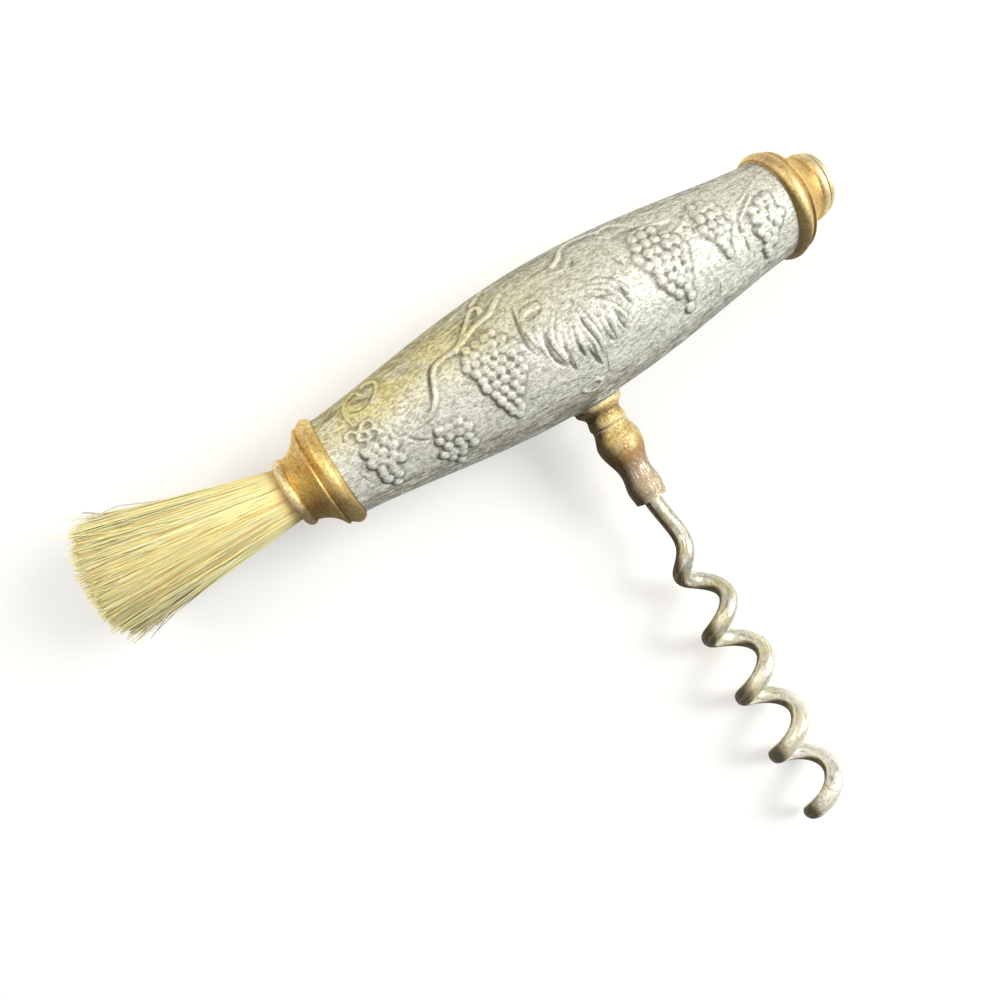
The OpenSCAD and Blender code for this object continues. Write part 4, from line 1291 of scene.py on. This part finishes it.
def makeCastRelief(values):
    bench, inp, out = pieceTree("castRelief", values)
    raised = makeRaised()
    skin = inp["Geometry"]
    heights = {}
    for label, (edge, fullness) in vine["marks"].items():
        feeds = {"Guide": inp[label], "Fullness": fullness}
        mark = bench.node("GeometryNodeGroup", feeds, node_tree=raised).outputs
        heights[label] = mark["Height"]
        skin = bench.keep(skin, edge, mark["Away"])
    top = bench.sums("MAXIMUM", heights["Grapes"], heights["Stems"])
    top = bench.minus(bench.sums("MAXIMUM", top, heights["Leaf"]), heights["Cuts"])
    pits = bench.minus(bench.clouds(bench.here(), *vine["pits"]), noiseMiddle)
    pits = bench.times(pits, inp["Pitting"])
    skin = bench.keep(skin, "relief", bench.times(bench.recall("free"), bench.plus(top, pits)))

    def blurred(steps):
        feeds = {"Value": bench.recall("relief"), "Iterations": steps}
        return bench.put("GeometryNodeBlurAttribute", feeds, data_type="FLOAT")

    crisp = blurred(inp["Softening"])
    depth = bench.over(bench.minus(blurred(inp["Reach"]), crisp), inp["Hollow Depth"])
    skin = bench.keep(skin, "hollow", bench.sums("MAXIMUM", depth, 0.0, clamp=True))
    skin = bench.keep(skin, "worn", bench.sums("MULTIPLY", depth, vine["wornGain"], clamp=True))
    outward = bench.stretched(bench.put("GeometryNodeInputNormal"), crisp)
    skin = bench.put("GeometryNodeSetPosition", {"Geometry": skin, "Offset": outward})
    return bench.deliver(skin, inp["Finish"], out["Geometry"])


guides = {
    "Grapes": guide("grapeMarks", grapeSpots(vine)),
    "Stems": guide("stemMarks", stemSpots(vine)),
    "Leaf": guide("lobeMarks", lobeSpots(vine)),
    "Cuts": guide("cutMarks", cutSpots(vine)),
}
sleevePiece = growNodes(sleeveSkin(sleeve), makeCastRelief, dict(vine["inputs"], **guides, Finish=pewter))
for marks in guides.values():
    bpy.data.objects.remove(marks)
settle(sleevePiece, "handle_sleeve")

# inner pieces keep their solids and get a finish
for node, finish in (("handle_core", beech), ("brush_pitch", pitchBlack), ("knot_band", ferruleBrass)):
    solid = frame["nodes"][node]
    solid.data.materials.clear()
    solid.data.materials.append(finish)

# floor, light and camera
studio = {
    "floorSize": 6.0, "floorColour": "fafaf9", "floorGlow": (0.4, 0.97), "glowReach": (0.06, 0.16),
    "middle": (-0.015, -0.035), "worldColour": "dcdde0", "worldLevel": 0.3,
    "lamps": [  # name, place from the middle of the tool in metres, size, watts, colour
        ("overheadPanel", (0.0, -0.04, 0.6), (1.0, 1.0), 2.1, "fffdf8"),
        ("keySoftbox", (0.66, -0.15, 0.63), (0.45, 0.45), 7.2, "fffefa"),
        ("warmSideSoftbox", (-0.30, 0.30, 0.40), (0.40, 0.30), 1.25, "fff1d4"),
    ],
}
cameraView = {  # place and aim in millimetres, turn in degrees
    "place": (-33.06, -17.77, 132.82), "aim": (-21.48, -18.36, -12.85), "turn": 31.57,
    "lens": 29.17, "sensor": 36.0, "clip": (0.005, 20.0),
}


def floorFinish(s, low):
    material, bench = newMaterial("paleFloor")
    lit = bench.put("ShaderNodeBsdfDiffuse", {"Color": shade(s["floorColour"])})
    glow = bench.put("ShaderNodeEmission", {"Color": (1, 1, 1, 1), "Strength": 1.0})
    rays = bench.node("ShaderNodeLightPath").outputs
    seen = bench.sums("MAXIMUM", rays["Is Glossy Ray"], rays["Is Transmission Ray"])
    seen = bench.sums("MAXIMUM", rays["Is Camera Ray"], seen)
    away = bench.distance(bench.place(), (*s["middle"], low))
    share = bench.times(seen, bench.ramp(away, *s["glowReach"], *s["floorGlow"]))
    mix = bench.put("ShaderNodeMixShader", {0: share, 1: lit, 2: glow})
    bench.node("ShaderNodeOutputMaterial", {"Surface": mix})
    return material


def makeFloor(s):
    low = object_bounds()[0].z
    half = s["floorSize"] / 2
    corners = [(-half, -half, low), (half, -half, low), (half, half, low), (-half, half, low)]
    mesh = bpy.data.meshes.new("paleFloor")
    mesh.from_pydata(corners, [], [(0, 1, 2, 3)])
    mesh.materials.append(floorFinish(s, low))
    newPiece("paleFloor", mesh)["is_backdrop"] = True


def makeLight(s):
    world = bpy.data.worlds.new("studioAir")
    bpy.context.scene.world = world
    world.use_nodes = True
    background = world.node_tree.nodes["Background"].inputs
    background["Color"].default_value = shade(s["worldColour"])
    background["Strength"].default_value = s["worldLevel"]
    for name, place, size, watts, colour in s["lamps"]:
        lamp = bpy.data.lights.new(name, "AREA")
        lamp.shape = "RECTANGLE"
        lamp.size, lamp.size_y = size
        lamp.energy = watts
        lamp.color = shade(colour)[:3]
        holder = bpy.data.objects.new(name, lamp)
        holder.location = place
        holder.rotation_euler = (-Vector(place)).to_track_quat("-Z", "Y").to_euler()
        bpy.context.scene.collection.objects.link(holder)


def makeCamera(c):
    lens = bpy.data.cameras.new("photoCamera")
    lens.lens = c["lens"]
    lens.sensor_width = c["sensor"]
    lens.clip_start, lens.clip_end = c["clip"]
    camera = bpy.data.objects.new("photoCamera", lens)
    place = Vector(c["place"]) * mm
    ahead = (Vector(c["aim"]) * mm - place).normalized()
    turn = math.radians(c["turn"])
    right = ahead.cross(Vector((math.sin(turn), math.cos(turn), 0))).normalized()
    facing = Matrix((right, right.cross(ahead), -ahead)).transposed().to_4x4()
    camera.matrix_world = Matrix.Translation(place) @ facing
    bpy.context.scene.collection.objects.link(camera)
    bpy.context.scene.camera = camera


makeFloor(studio)
makeLight(studio)
makeCamera(cameraView)
bpy.context.scene.view_settings.view_transform = "Standard"
print("studio made")
